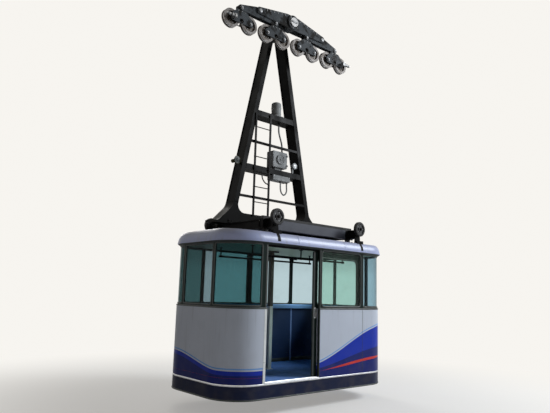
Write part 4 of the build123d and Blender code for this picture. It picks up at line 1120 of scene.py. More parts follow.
def bars_of(table):
    """Bars from a table of x, y and z ranges, as one pair of points and faces."""
    return joined([strip_box(row[0::2], row[1::2]) for row in table])


piece("doorpost_strips", *bars_of(pale_strips), pale_edge, "cabin", "bare_aluminium")
piece("doorway_dark_strips", *bars_of(dark_strips), seal_rubber, "cabin", "mount_rubber")
print("doorway framed with", len(pale_strips) + len(dark_strips), "strips")

# %% [markdown]
# ## Small shapes that repeat
# Bolts, rivets, screws and glands are all turned shapes. A hexagon is a turned shape with six corners round
# its axis. A table of profiles, in units of the bolt's own radius, is scaled and set down at every place of
# a list, and the whole list becomes one mesh.

# %% Bolts and rivets
HEX_PROFILE = [(0, 0), (0, 1.0), (0.62, 1.0), (0.80, 0.84), (0.80, 0)]
WASHER_PROFILE = [(-0.02, 0), (-0.02, 1.45), (0.12, 1.45), (0.18, 1.38), (0.18, 0)]
RIVET_PROFILE = [(-0.1, 0), (-0.1, 1.0), (0.30, 0.86), (0.52, 0.45), (0.58, 0)]
WASHER_THICK = 0.17
FORWARD, BACKWARD, UP, DOWN = (0, -1, 0), (0, 1, 0), (0, 0, 1), (0, 0, -1)


def many(profile, places, axis, radius, around):
    """One turned shape at many places, with one axis or one for each. The profile is in radii."""
    places = np.atleast_2d(np.asarray(places, float))
    axes = np.broadcast_to(np.asarray(axis, float), places.shape)
    scaled = np.array(profile) * radius
    return joined([turned(scaled, place, direction, around) for place, direction in zip(places, axes)])


def bolts(places, axis, radius):
    """Hexagon heads on round washers. A head starts a washer's thickness along the axis."""
    heads = np.asarray(places, float) + WASHER_THICK * radius * np.asarray(axis, float)
    return joined([many(HEX_PROFILE, heads, axis, radius, 6), many(WASHER_PROFILE, places, axis, radius, 12)])


def rivets(places, axis, radius=0.004):
    """Small domes: the rivet's profile turned at every place, each round its own direction."""
    return many(RIVET_PROFILE, places, axis, radius, 8)


print("bolts and rivets ready")

# %% [markdown]
# ## Rounded plates and weld beads
# Sheared plates have rounded corners, so their outline is a loop with few points. A weld is a half-round
# bead whose section swells and shrinks along the run, as hand welding leaves it. A sine on the radius is
# enough for that.

# %% Rounded plates and welds
def rounded(middle_u, middle_v, width, height, radius=0.010, points=4):
    """Corners of a rounded rectangle round a middle."""
    few = {"straight_step": 10, "bend_points": points}
    return loop(-width / 2, width / 2, -height / 2, height / 2, radius, **few)[0] + (middle_u, middle_v)


def weld(start, end, out, radius=0.005, ripple=0.007):
    """A half-round bead between two points, raised towards out. Its radius swells once every ripple."""
    start, end, out = np.asarray(start, float), np.asarray(end, float), np.asarray(out, float)
    length = np.linalg.norm(end - start)
    rows = np.linspace(0, 1, max(3, int(length / ripple * 3)))
    swell = radius * (1 + 0.14 * np.sin(rows * length / ripple * 2 * math.pi))
    aside = np.cross((end - start) / length, out)
    angle = np.linspace(0, math.pi, 5)
    fan = np.cos(angle)[:, None] * aside + np.sin(angle)[:, None] * out * 0.7
    return bead(start + rows[:, None, None] * (end - start) + swell[:, None, None] * fan)


print("plates and welds ready")

# %% [markdown]
# ## Rivets and seams of the cabin
# The sheet panels are riveted to their ribs. Rows of small domed rivets run under the belt, above the floor
# line and along the skirt, and closer rows mark where two panels meet. The rows are laid out as distance
# and height, so the same call serves the flat sides and the round corners.

# %% Rivet rows
RIVET_PAIR = 0.012
BELT_AND_FLOOR_Z = (-4.786, -5.800)
SKIRT_ROWS_Z = (-5.880, -6.026)
SEAM_RIVETS_Z = np.arange(-5.74, -4.80, 0.075)
SEAMS = (near(1.030), far(-1.091))


def wall_rows(t, z):
    """Places and outward directions of rivets at distances t and heights z on the wall."""
    t, z = (grid.ravel() for grid in np.meshgrid(t, z))
    directions = np.concatenate([outline(t)[1], np.zeros((len(t), 1))], -1)
    return on_wall(t, z, 0.0), directions


clear_of_door = (near(DOOR_RIGHT) + 0.060, near(DOOR_LEFT) - 0.080 + ROUND)
seam_pairs = [seam + side * RIVET_PAIR for seam in SEAMS for side in (-1, 1)]
rows = [
    wall_rows(np.linspace(*clear_of_door, 104), BELT_AND_FLOOR_Z),
    wall_rows(np.linspace(0, ROUND, 72, endpoint=False), SKIRT_ROWS_Z),
    wall_rows(seam_pairs, SEAM_RIVETS_Z),
]
piece("panel_rivets", *joined([rivets(*row) for row in rows]), wall_paint, "cabin", "body_paint", 60)
print("panels riveted")

# %% [markdown]
# ## Seam lines and skirt edge
# Where two panels meet, a thin dark line of sealant shows. It could be painted in the shader, but a raised
# line catches the light as the real one does. The skirt ends in a rolled rubber edge.

# %% Seam lines and skirt edge
seam_ends = np.array([[-5.795], [-4.768]])
seam_aside, seam_out = np.array([(-0.0035, -0.001), (-0.0030, 0.0012), (0.0030, 0.0012), (0.0035, -0.001)]).T
seam_lines = [bead(on_wall(seam + seam_aside, seam_ends, seam_out)) for seam in SEAMS]
piece("panel_seam_lines", *joined(seam_lines), seal_rubber, "cabin", "mount_rubber")

edge_profile = [(0, 0.0002), (0.002, 0.0050), (0.008, 0.0068), (0.018, 0.0050), (0.022, 0.0002)]
skirt_edge = moulding(0, ROUND, SKIRT_Z, edge_profile, closed=True)
piece("skirt_edge", *skirt_edge, seal_rubber, "cabin", "mount_rubber")
print("skirt edged")

# %% [markdown]
# ## Roof sheets
# The roof is made of three sheets, joined by flat cover strips with a rivet row on each side. The strip
# follows the roof's section: a quarter round at the edge, which ends in the slight crown. Where the
# brackets of the guide rollers stand, a curved strap goes over the edge and holds them.

# %% The roof's section
ROOF_REACH = 0.969
ROOF_TOP_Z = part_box("roof")[1].z
EDGE_R = 0.180
CROWN_R = 9.0


def roof_section(y):
    """Height of the roof over a straight stretch at y: the lower one of the rounded edge and the crown."""
    inside = np.minimum(ROOF_REACH - np.abs(y), EDGE_R)
    edge = ROOF_TOP_Z - EDGE_R + np.sqrt(np.maximum(EDGE_R ** 2 - (EDGE_R - inside) ** 2, 0))
    return np.minimum(edge, ROOF_TOP_Z - y ** 2 / (2 * CROWN_R))


def over_the_roof(x, y, profile):
    """A strip across the roof at x. Profile points are (aside, out of the roof)."""
    z = roof_section(y)
    along = np.stack([np.gradient(y), np.gradient(z)], -1)
    along /= np.linalg.norm(along, axis=1)[:, None]
    aside, out = np.array(profile, float).T
    points = np.zeros((len(y), len(aside), 3))
    points[..., 0] = x + aside
    points[..., 1] = y[:, None] - along[:, 1, None] * out
    points[..., 2] = z[:, None] + along[:, 0, None] * out
    return points


edge_turn = np.linspace(0.02, math.pi / 2, 12)
edge_y = ROOF_REACH - EDGE_R + EDGE_R * np.cos(edge_turn)
print("roof edge from y", round(edge_y[-1], 3), "to", round(edge_y[0], 3))

# %% [markdown]
# ## Strips over the roof
# One function bends a strip over the roof, and it serves the joints of the sheets and the straps under the
# guide rollers' brackets. The rivets use it too: of two points over each other, the difference is the
# direction out of the roof.

# %% Cover strips and straps
SHEET_JOINT_XS = (-0.55, 0.55)
COVER_RIVETS = 0.013
RIVETED_HALF, RIVETS_ACROSS = 0.93, 27
LIFT = 0.002
across_roof = np.concatenate([-edge_y, np.linspace(-0.75, 0.75, 9), edge_y[::-1]])
cover_left = [(-0.022, -0.001), (-0.022, 0.0012), (-0.019, 0.0022)]
cover_section = cover_left + [(-aside, out) for aside, out in cover_left[::-1]]
# The last two lie one metre further out. Less the first two, they give the unit direction out of the roof.
rivet_feet = [(aside, LIFT + out) for out in (0, 1) for aside in (-COVER_RIVETS, COVER_RIVETS)]
strips = [bead(over_the_roof(x, across_roof, cover_section)) for x in SHEET_JOINT_XS]
for x in SHEET_JOINT_XS:
    at = over_the_roof(x, np.linspace(-RIVETED_HALF, RIVETED_HALF, RIVETS_ACROSS), rivet_feet)
    strips += [rivets(at[:, side], at[:, side + 2] - at[:, side]) for side in (0, 1)]
piece("roof_cover_strips", *joined(strips), roof_paint, "cabin", "roof_paint", 50)

STRAP_HALF = 0.030
strap_section = [(-STRAP_HALF, -0.001), (-STRAP_HALF, 0.005), (STRAP_HALF, 0.005), (STRAP_HALF, -0.001)]
straps = []
for x, side in [(x, side) for x in (-GUIDE_X, GUIDE_X) for side in (-1, 1)]:
    over_edge = over_the_roof(x, side * np.sort(edge_y)[4:], strap_section)
    straps += [bead(over_edge), bolts([over_edge[-2, 1:3].mean(0)], (0, side, 0.05), 0.010)]
piece("guide_bracket_straps", *joined(straps), frame_black, "cabin", "frame_paint")
print("roof finished")

# %% [markdown]
# ## The floor and the sill
# The floor has low ribs, which shed snow and water, and the sill has finer ones with screws between. Each
# rib is a trapezoid carried along the cabin, and it stops at the round corners of the lining, so its length
# follows from the circle.

# %% Floor ribs and sill
LINING_HALF_Y, LINING_HALF_X, LINING_R = 0.885, 1.750, 0.470
RIB_PITCH, RIB_FOOT, RIB_TOP, RIB_HEIGHT = 0.036, 0.007, 0.005, 0.0018
TREAD_PITCH, TREAD_FOOT, TREAD_TOP, TREAD_HEIGHT = 0.008, 0.002, 0.001, 0.001
SILL_SCREW_Y = -0.938


def ridge(y, half_foot, half_top, base_z, height, *ends):
    """A low ridge along X: a trapezoid of (y, z) points carried between two ends."""
    foot = base_z - BITE
    top = base_z + height
    corners = [(y - half_foot, foot), (y - half_top, top), (y + half_top, top), (y + half_foot, foot)]
    return slab(corners, "yz", *ends)


rib_y = np.arange(-0.800, 0.870, RIB_PITCH)
past_corner = np.clip(np.abs(rib_y) - (LINING_HALF_Y - LINING_R), 0, LINING_R)
rib_half = LINING_HALF_X - LINING_R - 0.004 + np.sqrt(LINING_R ** 2 - past_corner ** 2)
rib_shape = (RIB_FOOT, RIB_TOP, FLOOR_Z, RIB_HEIGHT)
ribs = [ridge(y, *rib_shape, -half, half) for y, half in zip(rib_y, rib_half)]
piece("floor_ribs", *joined(ribs), floor_covering, "cabin", "floor_covering", 30)

sill_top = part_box("door_sill")[1].z
tread_y = np.arange(-0.930, -0.888, TREAD_PITCH)
tread_shape = (TREAD_FOOT, TREAD_TOP, sill_top, TREAD_HEIGHT)
treads = [ridge(y, *tread_shape, DOOR_LEFT + 0.006, DOOR_RIGHT - 0.006) for y in tread_y]
sill_screws = [(x, SILL_SCREW_Y, sill_top) for x in np.linspace(DOOR_LEFT + 0.05, DOOR_RIGHT - 0.05, 7)]
treads.append(many([(-0.1, 0), (-0.1, 1), (0.14, 0.9), (0.14, 0)], sill_screws, UP, 0.006, 12))
piece("sill_treads", *joined(treads), aluminium, "cabin", "bare_aluminium")
print("floor:", len(ribs), "ribs, sill:", len(tread_y), "treads")

# %% [markdown]
# ## Lining and trims
# Cover strips hide the joints of the lining on the far side, and a skirting board ends it at the floor. The
# ledge gets its front board and a small sill trim under the windows, and the ceiling a quarter-round trim.
# They are mouldings again, only further in than the wall's face.

# %% Strips, skirting and ledge
FAR_FACE = LINING_HALF_Y + 0.002
CEILING_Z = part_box("ceiling")[0].z
inside_walk = (near(1.075), near(-1.225) + ROUND)
over_windows = (near(1.065), near(-1.215) + ROUND)


def cover_strip(x, width, thick):
    """An upright strip with rounded arrises on the far lining, from the floor to the ledge."""
    low = (x - width / 2, FAR_FACE - thick, FLOOR_Z + 0.004)
    return strip_box(low, (x + width / 2, FAR_FACE + BITE, BELT_Z - 0.028))


piece("lining_end_strip", *cover_strip(1.030, 0.034, 0.005), blue_strip, "cabin", "ledge_trim")
joint_strips = [cover_strip(x, 0.030, 0.004) for x in (-1.091, -0.38, 0.34)]
piece("lining_joint_strips", *joined(joint_strips), lining_blue_painted_shade, "cabin", "lining_panel")

skirting_profile = [(-0.001, -0.047), (0.060, -0.047), (0.064, -0.050), (0.060, -0.052), (-0.001, -0.052)]
skirting = moulding(*inside_walk, FLOOR_Z, skirting_profile)
piece("skirting_board", *skirting, seal_rubber, "cabin", "mount_rubber")

fascia_top = [(-0.060, -0.099), (-0.001, -0.099), (0.003, -0.101), (0.003, -0.105)]
fascia_foot = [(0, -0.108), (-0.057, -0.108), (-0.060, -0.1055)]
sill_trim = [(-0.001, -0.039), (0.018, -0.039), (0.018, -0.042), (0.015, -0.044), (-0.001, -0.044)]
ledge_boards = [moulding(*inside_walk, BELT_Z, profile) for profile in (fascia_top + fascia_foot, sill_trim)]
piece("ledge_fascia", *joined(ledge_boards), ledge_blue_painted_light, "cabin", "ledge_trim")

trim_profile = [(0.001, -0.0395), (-0.016, -0.0395), (-0.014, -0.048), (-0.008, -0.053), (0.001, -0.055)]
ceiling_trim = moulding(*over_windows, CEILING_Z, trim_profile)
piece("ceiling_trim", *ceiling_trim, seal_rubber, "cabin", "mount_rubber")

head_bar = strip_box((0.930, 0.845, -3.850), (1.130, 0.872, -3.826), 0.006)
head_stem = strip_box((1.018, 0.850, -3.905), (1.042, 0.876, -3.848), 0.004)
piece("pillar_head_bracket", *joined([head_bar, head_stem]), frame_black, "cabin", "frame_paint")
print("lining trimmed")

# %% [markdown]
# ## Grab rails
# Each drop of a grab rail meets the ceiling in a flange with three screws and the rail in a sleeve, and the
# rail ends in a cap. All of them are turned round their own tube, so they fit it by their radius alone.

# %% Fittings of the grab rails
rail_low, rail_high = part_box("grab_rails")
RAIL_R, DROP_X, FLANGE_SCREW_RING = 0.016, 1.068, 0.022
RAIL_Y = rail_high.y - RAIL_R
rail_z = rail_low.z + RAIL_R
FLANGE = [(-0.001, 0), (-0.001, 0.034), (0.003, 0.034), (0.006, 0.028)]
FLANGE += [(0.006, 0.014), (0.022, 0.0135), (0.024, 0)]
SLEEVE = [(-0.020, 0), (-0.020, 0.0195), (0.020, 0.0195), (0.020, 0)]
END_CAP = [(-0.012, 0), (-0.012, 0.0175), (0.001, 0.0175), (0.006, 0.013), (0.008, 0.006), (0.0085, 0)]
drops = [(x, y) for x in (-DROP_X, 0, DROP_X) for y in (-RAIL_Y, RAIL_Y)]
screw_ring = [(FLANGE_SCREW_RING * math.cos(a), FLANGE_SCREW_RING * math.sin(a)) for a in (0.5, 2.6, 4.7)]
screw_places = [np.add(drop, screw) for drop in drops for screw in screw_ring]
flange_screws = placed(screw_places, "xy", CEILING_Z - 0.005)
flanges = [turned(FLANGE, (x, y, CEILING_Z), DOWN) for x, y in drops]
sleeves = [turned(SLEEVE, (x, y, rail_z), (1, 0, 0)) for x, y in drops]
rail_ends = [(side, y) for side in (-1, 1) for y in (-RAIL_Y, RAIL_Y)]
caps = [turned(END_CAP, (side * rail_high.x, y, rail_z), (side, 0, 0)) for side, y in rail_ends]
rail_fittings = joined(flanges + sleeves + caps + [rivets(flange_screws, DOWN)])
piece("grab_rail_fittings", *rail_fittings, frame_black, "cabin", "bare_aluminium")
print("rail fittings:", len(drops), "drops")

# %% [markdown]
# ## Post foot, track and brush
# The centre post stands on a screwed foot and is screwed to the ceiling. The door's track hangs on a row of
# bolts, and a brush closes the slot under the leaf. Even rows and combinations of signs give the places, so
# none is typed twice.

# %% Post foot, track bolts and brush
POST_X, POST_Y, FOOT_SIDE, FOOT_THICK = -0.130, 0.190, 0.130, 0.008
FOOT_SCREW, HEAD_SCREW_X, HEAD_SCREW_Y, HEAD_PLATE = 0.052, 0.105, 0.045, 0.026
TRACK_SCREW_UP, TRACK_SCREW_INSET = 0.026, 0.06
foot_outline = rounded(POST_X, POST_Y, FOOT_SIDE, FOOT_SIDE, 0.016)
post_foot = slab(foot_outline, "xy", FLOOR_Z - BITE, FLOOR_Z + FOOT_THICK)
foot_screws = placed(signs(FOOT_SCREW, FOOT_SCREW) + (POST_X, POST_Y), "xy", FLOOR_Z + FOOT_THICK)
head_grid = signs(HEAD_SCREW_X, HEAD_SCREW_Y) + (POST_X, POST_Y)
head_screws = placed(head_grid, "xy", CEILING_Z - HEAD_PLATE)
post_parts = [post_foot, rivets(foot_screws, UP, 0.006), rivets(head_screws, DOWN, 0.007)]
piece("post_foot", *joined(post_parts), upright_aluminium, "cabin", "bare_aluminium")

track_low, track_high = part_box("door_track")
track_xs = np.linspace(track_low.x + TRACK_SCREW_INSET, track_high.x - TRACK_SCREW_INSET, 12)
track_screws = [(x, track_high.y, track_low.z + TRACK_SCREW_UP) for x in track_xs]
piece("track_screws", *bolts(track_screws, BACKWARD, 0.006), zinc, "cabin", "bright_steel")

brush_section = np.array([(-0.008, 0.012), (-0.006, -0.0055), (0.006, -0.0055), (0.008, 0.012)])
leaf_brush = slab(brush_section + (LEAF_Y, leaf_low.z), "yz", leaf_low.x + 0.006, leaf_high.x - 0.006)
piece("leaf_brush", *leaf_brush, mount_rubber, "door", "mount_rubber")
print("inside fitted")

# %% [markdown]
# ## The support frame on the roof
# Four rubber mounts carry the frame. Each has a steel plate above and below, held by four bolts. The beams
# have bolted end plates, cleats tie the cross beams to the long ones, and brackets tie the hanger's base to
# them. The bolts of all of these are collected and made into one mesh at the end.

# %% Mount plates
MOUNT_X, MOUNT_Y = 0.980, 0.620
PLATE = 0.008
FOOT_PLATE = 0.012
cross_low, cross_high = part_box("roof_frame_cross_beams")
middle_z = (cross_low.z + cross_high.z) / 2
foot_z = ROOF_TOP_Z - MOUNT_Y ** 2 / (2 * CROWN_R)
plates, fasteners = [], []
for x, y in signs(MOUNT_X, MOUNT_Y):
    plates.append(slab(rounded(x, y, 0.150, 0.150), "xy", cross_low.z - PLATE, cross_low.z + 0.0004))
    plates.append(slab(rounded(x, y, 0.170, 0.150), "xy", foot_z - 0.010, foot_z + FOOT_PLATE))
    corners = signs(0.058, 0.058) + (x, y)
    for z, axis in ((foot_z + FOOT_PLATE, UP), (cross_low.z - PLATE, DOWN), (cross_low.z, UP)):
        fasteners.append(bolts(placed(corners, "xy", z), axis, 0.010))
print("mount plates:", len(plates))

# %% [markdown]
# ## End plates and cleats
# Each end of a long beam is closed by a plate with four bolts, and a cleat is a short plate that ties a
# cross beam to it. There are sixteen cleats, so loops over the signs of x and y place them, and each is
# drawn once.

# %% End plates and cleats
BEAM_HALF_Y = 0.045
END_PLATE = 0.007
CLEAT_ASIDE, CLEAT_BOLT_UP = 0.073, 0.035
beam_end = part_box("roof_frame_beam_near")[1].x
for side in (-1, 1):
    for y in (-MOUNT_Y, MOUNT_Y):
        end_face = side * (beam_end + END_PLATE)
        plates.append(slab(rounded(y, middle_z, 0.096, 0.150), "yz", side * (beam_end - BITE), end_face))
        end_bolts = placed(signs(0.028, 0.052) + (y, middle_z), "yz", end_face)
        fasteners.append(bolts(end_bolts, (side, 0, 0), 0.008))
        for face in (-1, 1):
            beam_face = y + face * BEAM_HALF_Y
            cleat_face = beam_face + face * PLATE
            for aside in (-CLEAT_ASIDE, CLEAT_ASIDE):
                cleat_x = side * MOUNT_X + aside
                cleat = rounded(cleat_x, middle_z, 0.050, 0.120)
                plates.append(slab(cleat, "xz", beam_face - face * BITE, cleat_face))
                rows = [(cleat_x, cleat_face, middle_z + up) for up in (-CLEAT_BOLT_UP, CLEAT_BOLT_UP)]
                fasteners.append(bolts(rows, (0, face, 0), 0.009))
piece("frame_plates", *joined(plates), frame_black, "cabin", "frame_paint")
print("frame plates:", len(plates))

# %% [markdown]
# ## Angle brackets
# The hanger's base stands on the frame between angle irons. An angle iron is one L-shaped outline with a
# thickness. The back ones are the front ones with the sign of y changed.

# %% Brackets of the hanger's base
HANGER_FRONT_Y, HANGER_BACK_Y = (corner.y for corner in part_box("hanger_top_bar"))
BRACKET_THICK, BRACKET_REACH, BRACKET_HALF = 0.010, 0.075, 0.044
# Columns: out of the hanger's face, over the cross beam.
angle_iron = np.array([
    (0, 0), (BRACKET_REACH, 0), (BRACKET_REACH, BRACKET_THICK),
    (BRACKET_THICK, 0.014), (BRACKET_THICK, BRACKET_REACH), (0, BRACKET_REACH),
])
brackets = []
for x in (-MOUNT_X, MOUNT_X):
    for face_y, out in ((HANGER_FRONT_Y, -1), (HANGER_BACK_Y, 1)):
        profile = angle_iron * (out, 1) + (face_y, cross_high.z)
        brackets.append(slab(profile, "yz", x - BRACKET_HALF, x + BRACKET_HALF))
        for ahead, up, axis in ((0.052, BRACKET_THICK, UP), (BRACKET_THICK, 0.048, (0, out, 0))):
            pair = [(x + a, face_y + out * ahead, cross_high.z + up) for a in (-0.024, 0.024)]
            fasteners.append(bolts(pair, axis, 0.010))
piece("base_brackets", *joined(brackets), frame_black, "cabin", "frame_paint")
print("brackets:", len(brackets))

# %% [markdown]
# ## Guide rollers
# The pads of the guide rollers are bolted down to the roof, and their axles end in a nut. The bolts on a
# guide roller itself turn with it, so they are pieces of their own, which ride on that roller and not on
# the cabin.

# %% Bolts of the frame and the guide rollers
PAD_Y, PAD_BOLT_X, PAD_TOP, AXLE_END_Y = 0.890, 0.058, 0.026, 0.9405
GUIDE_Y, GUIDE_WEB, GUIDE_BOLT_RING = 0.900, 0.016, 0.069
pad_z = roof_section(np.array(PAD_Y)) + PAD_TOP
for x, y in signs(GUIDE_X, 1):
    fasteners.append(bolts([(x + a, y * PAD_Y, pad_z) for a in (-PAD_BOLT_X, PAD_BOLT_X)], UP, 0.009))
    fasteners.append(bolts([(x, y * AXLE_END_Y, GUIDE_Z)], (0, y, 0), 0.015))
piece("frame_bolts", *joined(fasteners), frame_black, "cabin", "frame_paint")

guides = [(x, side) for x in (-GUIDE_X, GUIDE_X) for side in (-1, 1)]
for number, (x, side) in enumerate(guides, start=1):
    ring = placed(on_circle(5, GUIDE_BOLT_RING) + (x, GUIDE_Z), "xz", side * (GUIDE_Y + GUIDE_WEB))
    hub = bolts(ring, (0, side, 0), 0.008)
    piece(f"guide_roller_{number}_bolts", *hub, zinc, f"guide_roller_{number}", "bright_steel")
print("frame bolted")

# %% [markdown]
# ## Welds of the hanger
# The hanger is a welded frame. A bead runs wherever a bar meets a leg and where the legs stand on the base.
# The legs lean, and their inner edge is a straight line of the height, so the places of all the welds
# follow from one small function and from the boxes of the bars.

# %% Weld beads of the bars
LEG_INNER_AT, LEG_INNER_AT_Z, LEG_LEAN, LEG_WIDTH = 0.856, -3.150, 0.21, 0.092
FULL_DEPTH = HANGER_BACK_Y - HANGER_FRONT_Y


def leg_inner_x(z):
    """Half the clear width between the legs at a height."""
    return LEG_INNER_AT - LEG_LEAN * (z - LEG_INNER_AT_Z)


# Columns: lowest and highest z, depth of each bar.
bar_boxes = [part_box(f"hanger_{bar}") for bar in ("top_bar", "mid_bar", "upper_tie", "lower_tie")]
bars = [(low.z, high.z, high.y - low.y) for low, high in bar_boxes]
beads = []
for low_z, high_z, depth in bars:
    for side in (-1, 1):
        low = np.array([side * leg_inner_x(low_z), HANGER_FRONT_Y, low_z])
        high = np.array([side * leg_inner_x(high_z), HANGER_FRONT_Y, high_z])
        beads.append(weld(low, high, FORWARD))
        if depth > FULL_DEPTH / 2:
            beads.append(weld(low + (0, FULL_DEPTH, 0), high + (0, FULL_DEPTH, 0), BACKWARD))
        for z, out in ((low_z, DOWN), (high_z, UP)):
            x = side * (leg_inner_x(z) + 0.006)
            beads.append(weld((x, HANGER_FRONT_Y + 0.014, z), (x, HANGER_FRONT_Y + depth - 0.014, z), out))
print("weld beads of the bars:", len(beads))

# %% [markdown]
# ## Welds of the feet and the head
# Each leg is welded to the base all round. Under the head the bead follows an arc, so it is laid as short
# straight beads between places of the arc, which is also how a curve is welded.

# %% Weld beads of the feet and the head
LEG_FOOT_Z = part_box("hanger_base_beam")[1].z
PIN_Z = 0.555
HEAD_R = 0.165
HEAD_BEAD_R, HEAD_BEAD_BACK = HEAD_R + 0.001, 0.009

inner = leg_inner_x(LEG_FOOT_Z)
for side in (-1, 1):
    inside, outside = side * inner, side * (inner + LEG_WIDTH)
    for y, out in ((HANGER_FRONT_Y, FORWARD), (HANGER_BACK_Y, BACKWARD)):
        beads.append(weld((inside, y, LEG_FOOT_Z), (outside, y, LEG_FOOT_Z), out, 0.006))
    for x, out in ((inside, (-side, 0, 0)), (outside, (side, 0, 0))):
        beads.append(weld((x, HANGER_FRONT_Y, LEG_FOOT_Z), (x, HANGER_BACK_Y, LEG_FOOT_Z), out, 0.006))
turn = np.radians(np.linspace(-142, -38, 27))
arc = np.stack([HEAD_BEAD_R * np.cos(turn), PIN_Z + HEAD_BEAD_R * np.sin(turn)], -1)
for y, out in ((HANGER_FRONT_Y + HEAD_BEAD_BACK, FORWARD), (HANGER_BACK_Y - HEAD_BEAD_BACK, BACKWARD)):
    stops = placed(arc, "xz", y)
    beads += [weld(a, b, out, 0.007, 0.006) for a, b in zip(stops, stops[1:])]
piece("hanger_welds", *joined(beads), hanger_black, "cabin", "hanger_paint", 60)
print("weld beads:", len(beads))

# %% [markdown]
# ## The ladder
# Straps clip the ladder's rails to every bar that they cross, with a bolt on each side. A small collar
# stands where a rung goes through a rail. Half a strap is drawn and mirrored, so both halves stay alike.

# %% Ladder clips and rung collars
RAIL_XS = (-0.490, -0.145)
RAIL_HALF, RAIL_MIDDLE_Y = 0.018, 0.315
CLIP_HALF, CLIP_BOLT_X, CLIP_REACH = 0.016, 0.032, 0.045
RUNG_LOW_Z, RUNG_PITCH, RUNGS = -2.916, 0.280, 6

# Columns: aside of the rail, ahead of the hanger's front.
strap_left = [(-0.040, 0), (-0.040, -0.005), (-0.024, -0.005), (-0.024, -0.026)]
hollow_left = [(-0.0185, -0.0205), (-0.0185, 0)]
strap_right = [(-x, y) for x, y in strap_left[::-1]]
hollow_right = [(-x, y) for x, y in hollow_left[::-1]]
strap = np.array(strap_left + strap_right + hollow_right + hollow_left)
COLLAR = [(-0.1, 0), (-0.1, 1.0), (0.15, 0.95), (0.30, 0.70), (0.32, 0)]

clips = []
for low_z, high_z, depth in bars:
    z = (low_z + high_z) / 2
    for x in RAIL_XS:
        if leg_inner_x(z) > abs(x) + CLIP_REACH:
            clips.append(slab(strap + (x, HANGER_FRONT_Y), "xy", z - CLIP_HALF, z + CLIP_HALF))
            pair = [(x + a, HANGER_FRONT_Y - 0.005, z) for a in (-CLIP_BOLT_X, CLIP_BOLT_X)]
            clips.append(bolts(pair, FORWARD, 0.0055))
rungs = RUNG_LOW_Z + RUNG_PITCH * np.arange(RUNGS)
faces = [(x, side, z) for x in RAIL_XS for side in (-1, 1) for z in rungs]
collars = [(x + side * RAIL_HALF, RAIL_MIDDLE_Y, z) for x, side, z in faces]
clips.append(many(COLLAR, collars, [(side, 0, 0) for x, side, z in faces], 0.0125, 10))
piece("ladder_clips", *joined(clips), hanger_black, "cabin", "hanger_paint")
print("ladder clipped, collars:", len(collars))

# %% [markdown]
# ## Boxes on the hanger
# The control box has a round lid with a knob and a ring of screws, and a cover with hinges and latches. The
# junction box has a flat cover, and the upright unit on the top bar has two hoops and a cap. Turned rings
# and rounded plates give all of it.

# %% Lid and covers of the control box
LID_X, LID_Z, LID_FACE_Y = 0.158, -2.015, 0.338
BOX_FACE_Y, BOX_HEIGHT = 0.360, 0.310
HINGE_UP, COVER_LESS, COVER_THICK = 0.095, 0.016, 0.005
LID_RIM = [(-0.004, 0.078), (-0.004, 0.089), (0.003, 0.091), (0.007, 0.087), (0.007, 0.080), (0.002, 0.076)]
LID_KNOB = [(-0.001, 0), (-0.001, 0.020), (0.008, 0.018), (0.011, 0.012), (0.011, 0)]
LID_RING = [(-0.001, 0.046), (-0.001, 0.054), (0.003, 0.052), (0.003, 0.048)]
HINGE = [(-0.030, 0), (-0.030, 0.009), (0.030, 0.009), (0.030, 0)]

box_low, box_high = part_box("hanger_control_box")
box_x, box_z = (box_low.x + box_high.x) / 2, box_high.z - BOX_HEIGHT / 2
lid_place = (LID_X, LID_FACE_Y, LID_Z)
parts = [turned(shape, lid_place, FORWARD, n) for shape, n in ((LID_RIM, 48), (LID_KNOB, 32), (LID_RING, 40))]
cover_width, cover_height = box_high.x - box_low.x - COVER_LESS, BOX_HEIGHT - COVER_LESS
cover = rounded(box_x, box_z, cover_width, cover_height, 0.014, 6)
parts.append(slab(cover, "xz", BOX_FACE_Y - COVER_THICK, BOX_FACE_Y + BITE))
for up in (-HINGE_UP, HINGE_UP):
    parts.append(turned(HINGE, (box_low.x - 0.002, BOX_FACE_Y - 0.002, box_z + up), UP, 12))
    latch = rounded(box_high.x - 0.004, box_z + up, 0.030, 0.034, 0.006)
    parts.append(slab(latch, "xz", BOX_FACE_Y - 0.016, BOX_FACE_Y - 0.004))
print("control box covered")

# %% [markdown]
# ## Junction box, upright unit and screws
# The screws are placed from the same middles as the covers, so a cover and its screws stay together when a
# box is moved. Their patterns are a ring and combinations of signs, as a drawing would dimension them.

# %% Junction box, upright unit and all screws
HOOP = [(-0.010, 0.090), (-0.010, 0.0975), (-0.004, 0.099), (0.004, 0.099), (0.010, 0.0975), (0.010, 0.090)]
UNIT_CAP = [(-0.001, 0.030), (-0.001, 0.052), (0.006, 0.050), (0.010, 0.040), (0.011, 0)]
HOOP_ZS, UNIT_FOOT_Z = (-1.105, -0.990), -1.166
LID_SCREW_RING = 0.066
unit_low, unit_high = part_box("hanger_damper")
unit_x, unit_y = (unit_low.x + unit_high.x) / 2, (unit_low.y + unit_high.y) / 2
junction_low, junction_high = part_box("hanger_junction_box")
junction_x, junction_z = (junction_low.x + junction_high.x) / 2, (junction_low.z + junction_high.z) / 2
junction_face = HANGER_FRONT_Y - 0.006

lower_cover = rounded(junction_x, junction_z, junction_high.x - junction_low.x - 0.014, 0.088)
parts.append(slab(lower_cover, "xz", junction_face, HANGER_FRONT_Y + BITE))
parts += [turned(HOOP, (unit_x, unit_y, z), UP, 40) for z in HOOP_ZS]
parts.append(turned(UNIT_CAP, (unit_x, unit_y, unit_high.z), UP, 32))
piece("hanger_box_covers", *joined(parts), fitting_grey, "cabin", "fitting_grey")

